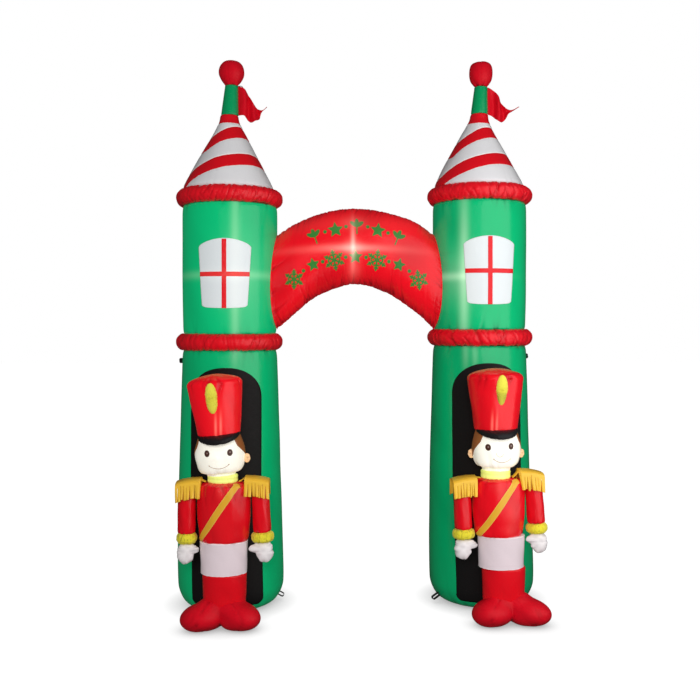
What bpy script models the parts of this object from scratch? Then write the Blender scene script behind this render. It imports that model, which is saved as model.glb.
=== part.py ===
"""Inflatable archway: two towers with striped roofs, an arch between them and a toy soldier before each.

Metres, +Z up. The origin is on the ground at the middle of the footprint, +X runs from the left tower
to the right one, and the soldiers stand on the -Y side. Every inflated tube is one filled solid, and
every sewn-on panel is a sheet that follows the tube it is sewn to.
"""

import math

import bmesh
import bpy
import numpy as np
from mathutils import Matrix

# What the pieces share.
GAP = 0.0003  # left between two pieces that touch
SHEET = 0.002  # thickness of a cloth panel
LIFT = 0.0005  # from a tube to the panel sewn on it
FOOTPRINT_SHIFT = 0.137  # the towers' axes lie this far behind the middle of the footprint
MERGE = 0.00001

# Round pieces, by the number of their flat sides.
TOWER_SIDES = 20
BODY_SIDES = 16
SMALL_SIDES = 12
ARM_SIDES = 8

# The towers, from the ground up.
TOWER_X = 0.7075
BASE_CONTACT = 0.207  # radius of the flat spot it stands on
BASE_ROUND = {"radius": 0.295, "height": 0.13}  # where the rounded foot ends
BASE_WALL = ((0.285, 0.58), (0.274, 1.00))  # radius, height
BASE_TOP_RADIUS = 0.260
RING = {"outer": 0.299, "seam": 0.254, "height": 0.098}
DRUM = {"low": 0.262, "middle": 0.268, "high": 0.266}
ROOF_WALL = ((0.0880, 0.322), (0.2330, 0.062))  # radius, height over the eaves
ROOF = {"eaves": 0.262, "top": 0.0575, "height": 0.380, "band": 0.049, "band_top": 0.0520}
MAST = {"low": 0.0495, "high": 0.0365}
TOWERS = {
    "left": {
        "side": -1, "low_ring": 1.459, "top_ring": 2.258, "roof_shift": -0.005, "mast_top": 2.898,
        "ball": "round", "lean": 0.010, "door_rise": 0.0, "window_foot": 1.459, "side_tab_z": 1.350,
        "stake_turn": 0.0, "flag_up": 0.010,
    },
    "right": {
        "side": 1, "low_ring": 1.483, "top_ring": 2.283, "roof_shift": 0.0, "mast_top": 2.917,
        "ball": "square", "lean": 0.009, "door_rise": 0.022, "window_foot": 1.481, "side_tab_z": 1.372,
        "stake_turn": 20.0, "flag_up": 0.005,
    },
}
BALLS = {
    # (radius, height over the mast) from the crown down to the neck
    "round": (
        (0.0300, 0.1385), (0.0540, 0.1220), (0.0695, 0.0930), (0.0705, 0.0680), (0.0590, 0.0350),
        (0.0400, 0.0100),
    ),
    "square": (
        (0.0360, 0.1370), (0.0570, 0.1200), (0.0655, 0.0850), (0.0655, 0.0550), (0.0540, 0.0260),
        (0.0410, 0.0080),
    ),
}
BALL_TOP = {"round": 0.1400, "square": 0.1385}
BALL_NECK = 0.0345

# Panels on the towers.
DOOR = {"half": 0.188, "sill": 0.072, "spring": 1.150, "crown": 1.320, "power": 2.3}
WINDOW = {"half_low": 0.121, "half_high": 0.140, "sill": 0.186, "head": 0.517, "crown": 0.553}

# The arch. Its upper and lower seams drop from the middle outwards by a power of the distance.
ARCH_UPPER = {"middle": 2.207, "drop": 0.155, "at": 0.45, "power": 2.2}
ARCH_LOWER = {"middle": 1.783, "drop": 0.262, "at": 0.44, "power": 1.82}
ARCH_DEPTH = {"middle": 0.160, "end": 0.128}
ARCH_REACH = 0.50
ARCH_STATIONS = 13
ARCH_SIDES = 12

# Webbing loops: a strip folded into a D.
LOOP_STRAP = 0.0018
TABS = {
    # (reach out, height, width) of the loop
    "side_tab": (0.017, 0.024, 0.020),
    "stake_loop": (0.034, 0.022, 0.020),
    "mast_tab": (0.024, 0.034, 0.018),
}
STAKE_LOOP = {"z": 0.042, "slope": 28.0, "stand_off": 0.006}
MAST_TAB = {"x": 0.040, "y": 0.030, "below_ball": 0.008}

# Pennants, by their upper and lower edges from the mast to the tip: x from the mast, z over its foot, sway.
FLAG_COLUMNS = ("up_x", "up_z", "low_x", "low_z", "sway")
FLAGS = {
    "left": (
        (0.0515, 0.140, 0.0535, 0.0005, 0.000),
        (0.083, 0.129, 0.080, -0.022, -0.016),
        (0.107, 0.095, 0.100, -0.046, 0.010),
        (0.129, 0.055, 0.124, -0.058, -0.014),
        (0.149, 0.029, 0.155, -0.038, 0.012),
        (0.168, 0.024, 0.166, 0.004, -0.004),
        (0.200, 0.034, 0.201, 0.030, -0.010),
    ),
    "right": (
        (0.0515, 0.136, 0.0535, 0.0005, 0.000),
        (0.086, 0.124, 0.082, -0.020, 0.015),
        (0.108, 0.094, 0.101, -0.044, -0.012),
        (0.124, 0.060, 0.123, -0.052, 0.013),
        (0.148, 0.026, 0.146, -0.036, -0.010),
        (0.172, 0.018, 0.168, 0.000, 0.006),
        (0.218, 0.038, 0.219, 0.034, -0.008),
    ),
}

# The soldiers. Sideways places are from the soldier's own upright line, heights from the ground.
SOLDIER_Y = -0.40  # from the towers' axes
BODY_DEPTH = 0.77  # a body's depth as a part of its width
SOLDIERS = {
    "left": {
        "x": -0.7015, "boots": -0.0165, "boots_apart": 0.0900, "legs": 0.0040, "trousers": 0.0010,
        "jacket": 0.0013, "collar": -0.0050, "head": -0.0170, "hat": -0.0220, "head_lean": -4.0,
        "hat_lean": -5.4, "head_turn": -15.0, "waist_z": 0.440, "hem_z": 0.273, "rise": 0.0, "hat_width": 1.0,
        "plume_x": -0.0096, "plume_turn": 0.0, "collar_height": 0.0455, "head_up": 0.0070,
        "plume_z": 0.1960, "hat_tall": 0.975, "sash": 0.0,
    },
    "right": {
        "x": 0.7480, "boots": 0.0390, "boots_apart": 0.0960, "legs": 0.0030, "trousers": -0.0050,
        "jacket": -0.0175, "collar": -0.0330, "head": -0.0290, "hat": -0.0320, "head_lean": 0.0,
        "hat_lean": -0.8, "head_turn": 4.0, "waist_z": 0.452, "hem_z": 0.284, "rise": 0.008, "hat_width": 1.03,
        "plume_x": 0.0078, "plume_turn": 1.7, "collar_height": 0.0520, "head_up": 0.0100,
        "plume_z": 0.2130, "hat_tall": 1.0, "sash": -0.006,
    },
}
BOOT = {"along": 0.125, "across": 0.098, "up": 0.080, "turn": 50.0, "front": 0.052, "z": 0.068}
LEG = {"low": 0.109, "high": 0.1145}
TROUSERS = {"low": 0.1175, "high": 0.1235}
JACKET = (
    (0.1040, 0.7345), (0.1240, 0.7180), (0.1340, 0.6900), (0.1375, 0.6300), (0.1364, 0.5430), (0.1310, 0.4850),
)
JACKET_TOP = {"radius": 0.081, "z": 0.7397}
COLLAR_RADIUS = 0.0790
HEAD = (
    (0.1060, 0.1900), (0.1150, 0.1560), (0.1260, 0.1260), (0.1307, 0.0900), (0.1270, 0.0580), (0.1180, 0.0300),
)
HEAD_JAW = ((0.1040, 0.0090), (0.0830, 0.0))
HEAD_DEPTH = 0.86
EAR = {"out": 0.018, "deep": 0.012, "tall": 0.024, "side": 0.129, "z": 0.083, "back": 12.0}
HAT = (
    (0.0500, 0.3160), (0.0920, 0.3030), (0.1220, 0.2850), (0.1380, 0.2660), (0.1415, 0.2480), (0.1270, 0.1400),
)
HAT_TOP = 0.320
BRIM_GAP = 0.003  # room for the hat to lean otherwise than the head
HAT_BRIM = 0.1076
HAT_DEPTH = 0.90
VISOR = {"half": 0.109, "front": 0.148, "thick": 0.020}
PLUME = {
    "half_width": 0.030, "half_depth": 0.016, "half_height": 0.079, "proud": 0.012, "slope": 6.5,
}
SASH = {"width": 0.034, "top_x": 0.066, "top_z": 0.7320, "low_x": -0.128, "low_z": 0.4450}

# The arms hang from the shoulders: places of the cuff, then the shoulder, and how far the thumb reaches in.
ARM_COLUMNS = ("cuff_x", "cuff_z", "shoulder_x", "shoulder_z", "cuff_radius", "thumb")
ARMS = {
    ("left", "l"): (-0.1875, 0.4830, -0.1885, 0.7540, 0.0533, 0.0660),
    ("left", "r"): (0.1990, 0.4850, 0.1845, 0.7610, 0.0590, 0.0780),
    ("right", "l"): (-0.2055, 0.4868, -0.2150, 0.7520, 0.0580, 0.0740),
    ("right", "r"): (0.1790, 0.5136, 0.1590, 0.7850, 0.0565, 0.0640),
}
ARM_Y = -0.014
SLEEVE = {"top": 0.028, "shoulder": 0.043, "elbow": 0.0455, "wrist": 0.0465}
CUFF = {"seam": 0.042, "height": 0.056}
GLOVE = ((0.0340, -0.0003), (0.0430, -0.0180), (0.0470, -0.0450), (0.0440, -0.0720), (0.0310, -0.0950))
GLOVE_TIP = -0.1060
GLOVE_DEPTH = 0.80
THUMB = {"half": 0.026, "thick": 0.017, "tall": 0.018, "z": -0.034}
EPAULETTE = {
    "inner": 0.1150, "outer": 0.2390, "collar_gap": 0.0050, "top": 0.0080, "drop": 0.0940, "fringe": 0.0580,
    "half_depth": 0.0700, "flare": 0.0060, "strap_drop": 0.0030, "strap_z": 0.7480, "strap_half": 0.0220,
}
FRINGE_STRIPS = 6
STRIP_SHARE = 0.80  # of one strip and one slit

RED = (0.72, 0.010, 0.020)
GREEN = (0.004, 0.300, 0.105)
WHITE = (0.80, 0.80, 0.83)
BLACK = (0.012, 0.011, 0.011)
GOLD = (0.80, 0.46, 0.040)
YELLOW = (0.83, 0.74, 0.060)
SKIN = (0.86, 0.80, 0.66)
LIME = (0.80, 0.85, 0.30)


def clear_scene():
    for thing in list(bpy.data.objects):
        bpy.data.objects.remove(thing, do_unlink=True)


def make_collection(name):
    group = bpy.data.collections.get(name) or bpy.data.collections.new(name)
    if group.name not in bpy.context.scene.collection.children:
        bpy.context.scene.collection.children.link(group)
    return group


def material(name, colour, rough):
    made = bpy.data.materials.new(name)
    made.use_nodes = True
    shader = made.node_tree.nodes["Principled BSDF"]
    shader.inputs["Base Color"].default_value = (*colour, 1.0)
    shader.inputs["Roughness"].default_value = rough
    shader.inputs["Metallic"].default_value = 0.0
    return made


def finish(thing, group, colour=None, rough=0.55):
    """Puts an object in its collection, and gives it its own material if it is a part."""
    group.objects.link(thing)
    if colour:
        thing.data.materials.append(material(thing.name, colour, rough))
    return thing


def hide(thing):
    """Makes an object a cutter."""
    thing.hide_render = True
    thing.display_type = "WIRE"
    return thing


def turned(name, profile, sides, closed=False):
    """A turned shape, from (radius, height) points that run down its outer side."""
    mesh = bpy.data.meshes.new(name)
    points = [(radius, 0.0, height) for radius, height in profile]
    edges = [(i, i + 1) for i in range(len(points) - 1)]
    if closed:
        edges.append((len(points) - 1, 0))
    mesh.from_pydata(points, edges, [])
    thing = bpy.data.objects.new(name, mesh)
    screw = thing.modifiers.new("turn", "SCREW")
    screw.axis = "Z"
    screw.steps = screw.render_steps = sides
    screw.use_merge_vertices = True
    screw.merge_threshold = MERGE
    screw.use_smooth_shade = True
    return thing


def whole(wall, top=None, bottom=None):
    """A closed profile: the wall's points with the axis at both ends, flat unless another height is given."""
    top = wall[0][1] if top is None else top
    bottom = wall[-1][1] if bottom is None else bottom
    return [(0.0, top), *wall, (0.0, bottom)]


def offset(wall, distance):
    """The wall moved outwards by the distance, square to itself."""
    points = np.array(wall, float)
    along = np.diff(points, axis=0)
    along /= np.linalg.norm(along, axis=1)[:, None]
    out = np.stack([-along[:, 1], along[:, 0]], axis=1)
    before = np.vstack([out[:1], out])
    after = np.vstack([out, out[-1:]])
    middle = before + after
    middle *= (2.0 / (middle * middle).sum(1))[:, None]
    return [tuple(p) for p in points + middle * distance]


def shell(wall, lift):
    """A closed profile of a sheet that follows the wall, its near face lifted from it."""
    return offset(wall, lift + SHEET) + offset(wall, lift)[::-1]


def cut(thing, other, operation):
    change = thing.modifiers.new(operation.lower(), "BOOLEAN")
    change.operation = operation
    change.solver = "EXACT"
    change.object = other


def as_mesh(curve, name):
    """The curve object as a welded mesh in the same place."""
    bpy.context.scene.collection.objects.link(curve)
    bpy.context.view_layer.update()
    mesh = bpy.data.meshes.new_from_object(curve.evaluated_get(bpy.context.evaluated_depsgraph_get()))
    work = bmesh.new()
    work.from_mesh(mesh)
    bmesh.ops.remove_doubles(work, verts=work.verts, dist=MERGE)
    work.to_mesh(mesh)
    work.free()
    place = curve.matrix_world.copy()
    bpy.data.objects.remove(curve, do_unlink=True)
    made = bpy.data.objects.new(name, mesh)
    made.matrix_world = place
    return made


def flat_outline(name, rings, thickness):
    """A 2D curve of closed rings, the first the outside and any other a hole, extruded to a thickness."""
    curve = bpy.data.curves.new(name, "CURVE")
    curve.dimensions = "2D"
    curve.fill_mode = "BOTH"
    curve.extrude = thickness / 2
    for ring in rings:
        line = curve.splines.new("POLY")
        line.points.add(len(ring) - 1)
        for point, (x, y) in zip(line.points, ring):
            point.co = (x, y, 0.0, 1.0)
        line.use_cyclic_u = True
    return bpy.data.objects.new(name, curve)


def front_prism(name, ring, x, y_front, y_back, cutters):
    """A cutter with a front-view outline, which runs from y_front to y_back."""
    flat = flat_outline(name, [ring], y_back - y_front)
    flat.rotation_euler = (math.radians(90), 0, 0)
    flat.location = (x, (y_front + y_back) / 2, 0)
    return hide(finish(as_mesh(flat, name), cutters))


def ellipsoid(name, half, sides, rings):
    mesh = bpy.data.meshes.new(name)
    work = bmesh.new()
    bmesh.ops.create_uvsphere(work, u_segments=sides, v_segments=rings, radius=1.0)
    bmesh.ops.scale(work, vec=half, verts=work.verts)
    work.to_mesh(mesh)
    work.free()
    mesh.shade_smooth()
    return bpy.data.objects.new(name, mesh)


def block(name, low, high):
    mesh = bpy.data.meshes.new(name)
    work = bmesh.new()
    bmesh.ops.create_cube(work, size=1.0)
    size = [b - a for a, b in zip(low, high)]
    middle = [(a + b) / 2 for a, b in zip(low, high)]
    bmesh.ops.scale(work, vec=size, verts=work.verts)
    bmesh.ops.translate(work, vec=middle, verts=work.verts)
    work.to_mesh(mesh)
    work.free()
    return bpy.data.objects.new(name, mesh)


def sheet_grid(name, columns, rows, place, keep=None):
    """A cloth sheet from a grid, each of whose corners place(i, j) puts; keep(i, j) says which squares stay."""
    work = bmesh.new()
    bmesh.ops.create_grid(work, x_segments=columns, y_segments=rows, size=0.5)
    for corner in work.verts:
        i = round((corner.co.x + 0.5) * columns)
        j = round((corner.co.y + 0.5) * rows)
        corner.co = place(i, j)
        corner.index = i * (rows + 1) + j
    if keep:
        gone = []
        for face in work.faces:
            lowest = min(corner.index for corner in face.verts)
            if not keep(lowest // (rows + 1), lowest % (rows + 1)):
                gone.append(face)
        bmesh.ops.delete(work, geom=gone, context="FACES")
    mesh = bpy.data.meshes.new(name)
    work.to_mesh(mesh)
    work.free()
    thing = bpy.data.objects.new(name, mesh)
    thick = thing.modifiers.new("cloth", "SOLIDIFY")
    thick.thickness = SHEET
    thick.offset = 0.0
    return thing


def base_wall(top):
    """The lower tower's side from its top seam down to the edge of its flat spot."""
    steps = 4
    foot = []
    for k in range(steps + 1):
        turn = math.radians(90) * (1 - k / steps)
        radius = BASE_CONTACT + (BASE_ROUND["radius"] - BASE_CONTACT) * math.sin(turn)
        foot.append((radius, BASE_ROUND["height"] * (1 - math.cos(turn))))
    return [(BASE_TOP_RADIUS, top), *sorted(BASE_WALL, key=lambda p: -p[1]), *foot]


def puff(seam, outer, low, high, steps=5):
    """A band that bulges from its seam radius to its outer radius between two heights, top first."""
    points = []
    for k in range(steps + 1):
        turn = math.radians(90 - 180 * k / steps)
        points.append((
            seam + (outer - seam) * math.cos(turn),
            (low + high) / 2 + (high - low) / 2 * math.sin(turn),
        ))
    return points


def ring_wall(centre):
    half = RING["height"] / 2
    return puff(RING["seam"], RING["outer"], centre - half, centre + half)


def drum_wall(low, high):
    return [(DRUM["high"], high), (DRUM["middle"], (low + high) / 2), (DRUM["low"], low)]


def door_outline(lift):
    """A doorway with straight jambs under a head that is a little squarer than half an ellipse."""
    ring = [(-DOOR["half"], DOOR["sill"]), (DOOR["half"], DOOR["sill"])]
    steps = 12
    flat = 2 / DOOR["power"]
    for k in range(steps + 1):
        turn = math.pi * k / steps
        across = math.copysign(abs(math.cos(turn)) ** flat, math.cos(turn))
        rise = (DOOR["crown"] - DOOR["spring"]) * abs(math.sin(turn)) ** flat
        ring.append((DOOR["half"] * across, DOOR["spring"] + lift + rise))
    return ring


def window_outline(foot):
    """A window whose sides lean out and whose head is slightly arched."""
    ring = [(-WINDOW["half_low"], foot + WINDOW["sill"]), (WINDOW["half_low"], foot + WINDOW["sill"])]
    for part in (1.0, 0.55, 0.0, -0.55, -1.0):
        rise = (WINDOW["crown"] - WINDOW["head"]) * (1 - part * part)
        ring.append((part * WINDOW["half_high"], foot + WINDOW["head"] + rise))
    return ring


def d_ring(reach, height, inset):
    """A D with its flat side on x = 0 and its round side at x = reach, drawn in by the inset."""
    half = height / 2 - inset
    near, far = inset, reach - inset
    ring = [(near, -half), (near, half)]
    steps = 6
    for k in range(steps + 1):
        turn = math.radians(90 - 180 * k / steps)
        ring.append((far - half * 0.8 * (1 - math.cos(turn)), half * math.sin(turn)))
    return ring[::-1]


def webbing_loop(name, kind, at, heading, slope, parts):
    """A strap folded into a D that stands out of the tube towards its heading, in degrees from +X."""
    reach, height, width = TABS[kind]
    rings = [d_ring(reach, height, 0.0), d_ring(reach, height, LOOP_STRAP)[::-1]]
    flat = flat_outline(name, rings, width)
    upright = Matrix.Rotation(math.radians(90), 4, "X")
    around = Matrix.Rotation(math.radians(heading), 4, "Z")
    tilt = Matrix.Rotation(math.radians(slope), 4, "Y")
    flat.matrix_world = Matrix.Translation(at) @ around @ tilt @ upright
    return finish(as_mesh(flat, name), parts, BLACK, 0.7)


def mast_tube(name, low, high, lean):
    """The mast: a tapered tube that leans a little, upright at both ends."""
    curve = bpy.data.curves.new(name, "CURVE")
    curve.dimensions = "3D"
    curve.bevel_depth = 1.0
    curve.bevel_resolution = 2
    curve.use_fill_caps = True
    rise = high - low
    line = curve.splines.new("POLY")
    line.points.add(3)
    for point, part in zip(line.points, (0.0, 0.08, 0.92, 1.0)):
        sway = lean * min(max((part - 0.08) / 0.84, 0.0), 1.0)
        point.co = (sway, 0.0, low + rise * part, 1.0)
        point.radius = MAST["low"] + (MAST["high"] - MAST["low"]) * part
    return as_mesh(bpy.data.objects.new(name, curve), name)


def flag_sheet(name, side, low):
    rows = [dict(zip(FLAG_COLUMNS, row)) for row in FLAGS[side]]
    across = 3

    def place(i, j):
        row, part = rows[i], j / across
        x = row["low_x"] + (row["up_x"] - row["low_x"]) * part
        z = row["low_z"] + (row["up_z"] - row["low_z"]) * part
        return (x, row["sway"] * (1.3 - 0.6 * part), low + z)

    return sheet_grid(name, len(rows) - 1, across, place)


def build_tower(side, parts, cutters):
    """One tower from its foot to its ball. Returns the wall that the arch is cut to."""
    row = TOWERS[side]
    centre = (row["side"] * TOWER_X, FOOTPRINT_SHIFT, 0.0)
    half = RING["height"] / 2
    low_ring, top_ring = row["low_ring"], row["top_ring"]

    def put(thing, colour, rough=0.5, shift=0.0):
        thing.location = (centre[0] + shift, centre[1], 0.0)
        return finish(thing, parts, colour, rough)

    base = base_wall(low_ring - half - GAP)
    put(turned(f"{side}_tower_base", whole(base), TOWER_SIDES), GREEN)
    put(turned(f"{side}_ring_low", whole(ring_wall(low_ring)), TOWER_SIDES), RED)
    drum = drum_wall(low_ring + half + GAP, top_ring - half - GAP)
    put(turned(f"{side}_drum", whole(drum), TOWER_SIDES), GREEN)
    put(turned(f"{side}_ring_top", whole(ring_wall(top_ring)), TOWER_SIDES), RED)

    eaves = top_ring + half + GAP
    roof_top = eaves + ROOF["height"]
    band_top = roof_top + ROOF["band"]
    roof = [(ROOF["band_top"], band_top), (ROOF["top"], roof_top)]
    roof += [(radius, eaves + height) for radius, height in ROOF_WALL]
    roof.append((ROOF["eaves"], eaves))
    put(turned(f"{side}_roof", whole(roof), TOWER_SIDES), WHITE, shift=row["roof_shift"])
    put(mast_tube(f"{side}_mast", band_top + GAP, row["mast_top"], row["lean"]), GREEN)
    kind = row["ball"]
    ball = [(radius, row["mast_top"] + height) for radius, height in BALLS[kind]]
    ball.append((BALL_NECK, row["mast_top"] + GAP))
    crown = row["mast_top"] + BALL_TOP[kind]
    put(turned(f"{side}_ball", whole(ball, top=crown), SMALL_SIDES), RED, shift=row["lean"])
    put(flag_sheet(f"{side}_flag", side, band_top + row["flag_up"]), RED)

    door = put(turned(f"{side}_door", shell(base[:-2], LIFT), TOWER_SIDES, closed=True), BLACK, 0.7)
    reach = centre[1] - BASE_ROUND["radius"] - 0.05
    far = centre[1] - 0.05
    outline = door_outline(row["door_rise"])
    cutter = front_prism(f"{side}_door_cutter", outline, centre[0], reach, far, cutters)
    cut(door, cutter, "INTERSECT")
    window = put(turned(f"{side}_window", shell(drum, LIFT), TOWER_SIDES, closed=True), WHITE)
    outline = window_outline(row["window_foot"])
    cutter = front_prism(f"{side}_window_cutter", outline, centre[0], reach, far, cutters)
    cut(window, cutter, "INTERSECT")

    outer = 0.0 if row["side"] > 0 else 180.0
    for kind, z, heading, slope, stand_off in (
        ("side_tab", row["side_tab_z"], outer, 0.0, LIFT),
        ("stake_loop", STAKE_LOOP["z"], 180.0 - outer + row["stake_turn"], STAKE_LOOP["slope"],
         STAKE_LOOP["stand_off"]),
    ):
        turn, reach = math.radians(heading), wall_radius(base, z) + stand_off
        at = (centre[0] + reach * math.cos(turn), centre[1] + reach * math.sin(turn), z)
        webbing_loop(f"{side}_{kind}", kind, at, heading, slope, parts)
    inner = drum_wall(low_ring + half, top_ring - half)
    return [*ring_wall(top_ring)[1:-1], *inner, *ring_wall(low_ring)[1:-1]]


def wall_radius(wall, height):
    """The wall's radius at a height."""
    points = sorted(wall, key=lambda p: p[1])
    return float(np.interp(height, [p[1] for p in points], [p[0] for p in points]))


def arch_height(seam, x):
    return seam["middle"] - seam["drop"] * (abs(x) / seam["at"]) ** seam["power"]


def build_arch(walls, parts, cutters):
    """A two-panel tube between the drums: a loft of upright ovals whose height follows the two seams."""
    work = bmesh.new()
    loops = []
    for k in range(ARCH_STATIONS):
        x = ARCH_REACH * (2 * k / (ARCH_STATIONS - 1) - 1)
        upper, lower = arch_height(ARCH_UPPER, x), arch_height(ARCH_LOWER, x)
        depth = ARCH_DEPTH["middle"] + (ARCH_DEPTH["end"] - ARCH_DEPTH["middle"]) * (x / ARCH_REACH) ** 2
        loop = []
        for n in range(ARCH_SIDES):
            turn = 2 * math.pi * n / ARCH_SIDES
            y = depth * math.sin(turn)
            z = (upper + lower) / 2 + (upper - lower) / 2 * math.cos(turn)
            loop.append(work.verts.new((x, FOOTPRINT_SHIFT + y, z)))
        loops.append(loop)
    for near, far in zip(loops, loops[1:]):
        for n in range(ARCH_SIDES):
            m = (n + 1) % ARCH_SIDES
            work.faces.new((near[n], near[m], far[m], far[n]))
    work.faces.new(loops[0][::-1])
    work.faces.new(loops[-1])
    bmesh.ops.recalc_face_normals(work, faces=work.faces)
    mesh = bpy.data.meshes.new("arch_tube")
    work.to_mesh(mesh)
    work.free()
    mesh.shade_smooth()
    arch = finish(bpy.data.objects.new("arch_tube", mesh), parts, RED)
    for side, wall in walls.items():
        column = turned(f"{side}_arch_cutter", whole(offset(wall, LIFT)), TOWER_SIDES)
        column.location = (TOWERS[side]["side"] * TOWER_X, FOOTPRINT_SHIFT, 0.0)
        cut(arch, hide(finish(column, cutters)), "DIFFERENCE")


def build_boots(side, row, spot, parts, cutters):
    """Both boots and the legs' tube in one: the cloth is cut in one piece with the legs."""
    hem = row["hem_z"] - GAP
    name = f"{side}_boots"
    tube = turned(name, whole([(LEG["high"], hem), (LEG["low"], 0.11), (0.070, 0.050)]), BODY_SIDES)
    tube.location = spot(row["legs"])
    tube.scale = (1.0, BODY_DEPTH, 1.0)
    finish(tube, parts, RED)
    for hand in (-1, 1):
        lobe = ellipsoid(f"{name}_lobe_{hand}", (BOOT["across"], BOOT["along"], BOOT["up"]), 12, 7)
        x, y, _ = spot(row["boots"] + hand * row["boots_apart"])
        lobe.location = (x, y - BOOT["front"], BOOT["z"])
        lobe.rotation_euler = (0, 0, math.radians(hand * BOOT["turn"]))
        cut(tube, hide(finish(lobe, cutters)), "UNION")
    x, y, _ = spot(0.0)
    ground = block(f"{name}_ground", (x - 0.5, y - 0.5, -0.2), (x + 0.5, y + 0.5, 0.0))
    cut(tube, hide(finish(ground, cutters)), "DIFFERENCE")


def build_sash(side, row, spot, wall, parts, cutters):
    """A strap sewn across the jacket's front, from the shoulder to the far hip."""
    sash = turned(f"{side}_sash", shell(wall, LIFT), BODY_SIDES, closed=True)
    sash.location = spot(row["jacket"])
    sash.scale = (1.0, BODY_DEPTH, 1.0)
    finish(sash, parts, GOLD, 0.45)
    top = (SASH["top_x"] + row["sash"], SASH["top_z"] + row["rise"])
    low = (SASH["low_x"] + row["sash"], SASH["low_z"] + row["rise"])
    length = math.dist(top, low)
    across = ((top[1] - low[1]) / length * SASH["width"] / 2, -(top[0] - low[0]) / length * SASH["width"] / 2)
    ring = [
        (low[0] - across[0], low[1] - across[1]), (low[0] + across[0], low[1] + across[1]),
        (top[0] + across[0], top[1] + across[1]), (top[0] - across[0], top[1] - across[1]),
    ]
    x, y, _ = spot(row["jacket"])
    cutter = front_prism(f"{side}_sash_cutter", ring, x, y - 0.3, y - 0.004, cutters)
    cut(sash, cutter, "INTERSECT")


def build_head(side, row, spot, parts, cutters):
    """Head with its ears, hat, visor and plume, each leaning as it stands."""
    foot = JACKET_TOP["z"] + row["rise"] + row["collar_height"] + row["head_up"]
    wall = [*HEAD, *HEAD_JAW]
    head = turned(f"{side}_head", whole(wall), BODY_SIDES)
    lean = Matrix.Rotation(math.radians(row["head_lean"]), 4, "Y")
    turn = Matrix.Rotation(math.radians(row["head_turn"]), 4, "Z")
    x, y, _ = spot(row["head"])
    frame = Matrix.Translation((x, y, foot)) @ lean
    flat = Matrix.Diagonal((1.0, HEAD_DEPTH, 1.0, 1.0))
    head.matrix_world = frame @ flat
    finish(head, parts, SKIN, 0.5)
    for hand in (-1, 1):
        ear = ellipsoid(f"{side}_ear_{hand}", (EAR["out"], EAR["deep"], EAR["tall"]), 6, 5)
        back = Matrix.Rotation(math.radians(hand * EAR["back"]), 4, "Z")
        place = Matrix.Translation((hand * EAR["side"], 0.0, EAR["z"]))
        ear.matrix_world = frame @ turn @ back @ place
        cut(head, hide(finish(ear, cutters)), "UNION")

    brim = foot + HEAD[0][1] + BRIM_GAP
    x, y, _ = spot(row["hat"])
    hat_lean = Matrix.Rotation(math.radians(row["hat_lean"]), 4, "Y")
    hat_frame = Matrix.Translation((x, y, brim)) @ hat_lean
    wide = Matrix.Diagonal((row["hat_width"], HAT_DEPTH * row["hat_width"], row["hat_tall"], 1.0))
    hat_wall = [*HAT, (HAT_BRIM, 0.0)]
    hat = turned(f"{side}_hat", whole(hat_wall, top=HAT_TOP), BODY_SIDES)
    hat.matrix_world = hat_frame @ wide
    finish(hat, parts, RED)

    room = offset(wall, LIFT)
    over_head = (room[0][0], room[0][1] + 4 * BRIM_GAP)
    head_room = turned(f"{side}_head_cutter", whole([over_head, *room]), BODY_SIDES)
    head_room.matrix_world = frame @ flat
    hide(finish(head_room, cutters))
    visor = ellipsoid(f"{side}_visor", (VISOR["half"], VISOR["front"], VISOR["thick"]), 14, 6)
    visor.matrix_world = hat_frame @ Matrix.Translation((0, 0, -VISOR["thick"] - GAP))
    finish(visor, parts, BLACK, 0.5)
    cut(visor, head_room, "DIFFERENCE")
    behind = block(f"{side}_visor_cutter", (x - 0.4, y - 0.018, 0.7), (x + 0.4, y + 0.4, 1.4))
    cut(visor, hide(finish(behind, cutters)), "DIFFERENCE")

    hat_room = turned(f"{side}_hat_cutter", whole(offset(hat_wall, LIFT), top=HAT_TOP + LIFT), BODY_SIDES)
    hat_room.matrix_world = hat_frame @ wide
    hide(finish(hat_room, cutters))
    plume = ellipsoid(f"{side}_plume", (PLUME["half_width"], PLUME["half_depth"], PLUME["half_height"]), 8, 6)
    front = wall_radius(hat_wall, row["plume_z"]) * HAT_DEPTH * row["hat_width"]
    tilt = Matrix.Rotation(math.radians(row["plume_turn"]), 4, "Y")
    slope = tilt @ Matrix.Rotation(math.radians(PLUME["slope"]), 4, "X")
    place = Matrix.Translation((row["plume_x"], PLUME["half_depth"] - PLUME["proud"] - front, row["plume_z"]))
    plume.matrix_world = hat_frame @ place @ slope
    finish(plume, parts, YELLOW)
    cut(plume, hat_room, "DIFFERENCE")


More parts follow.
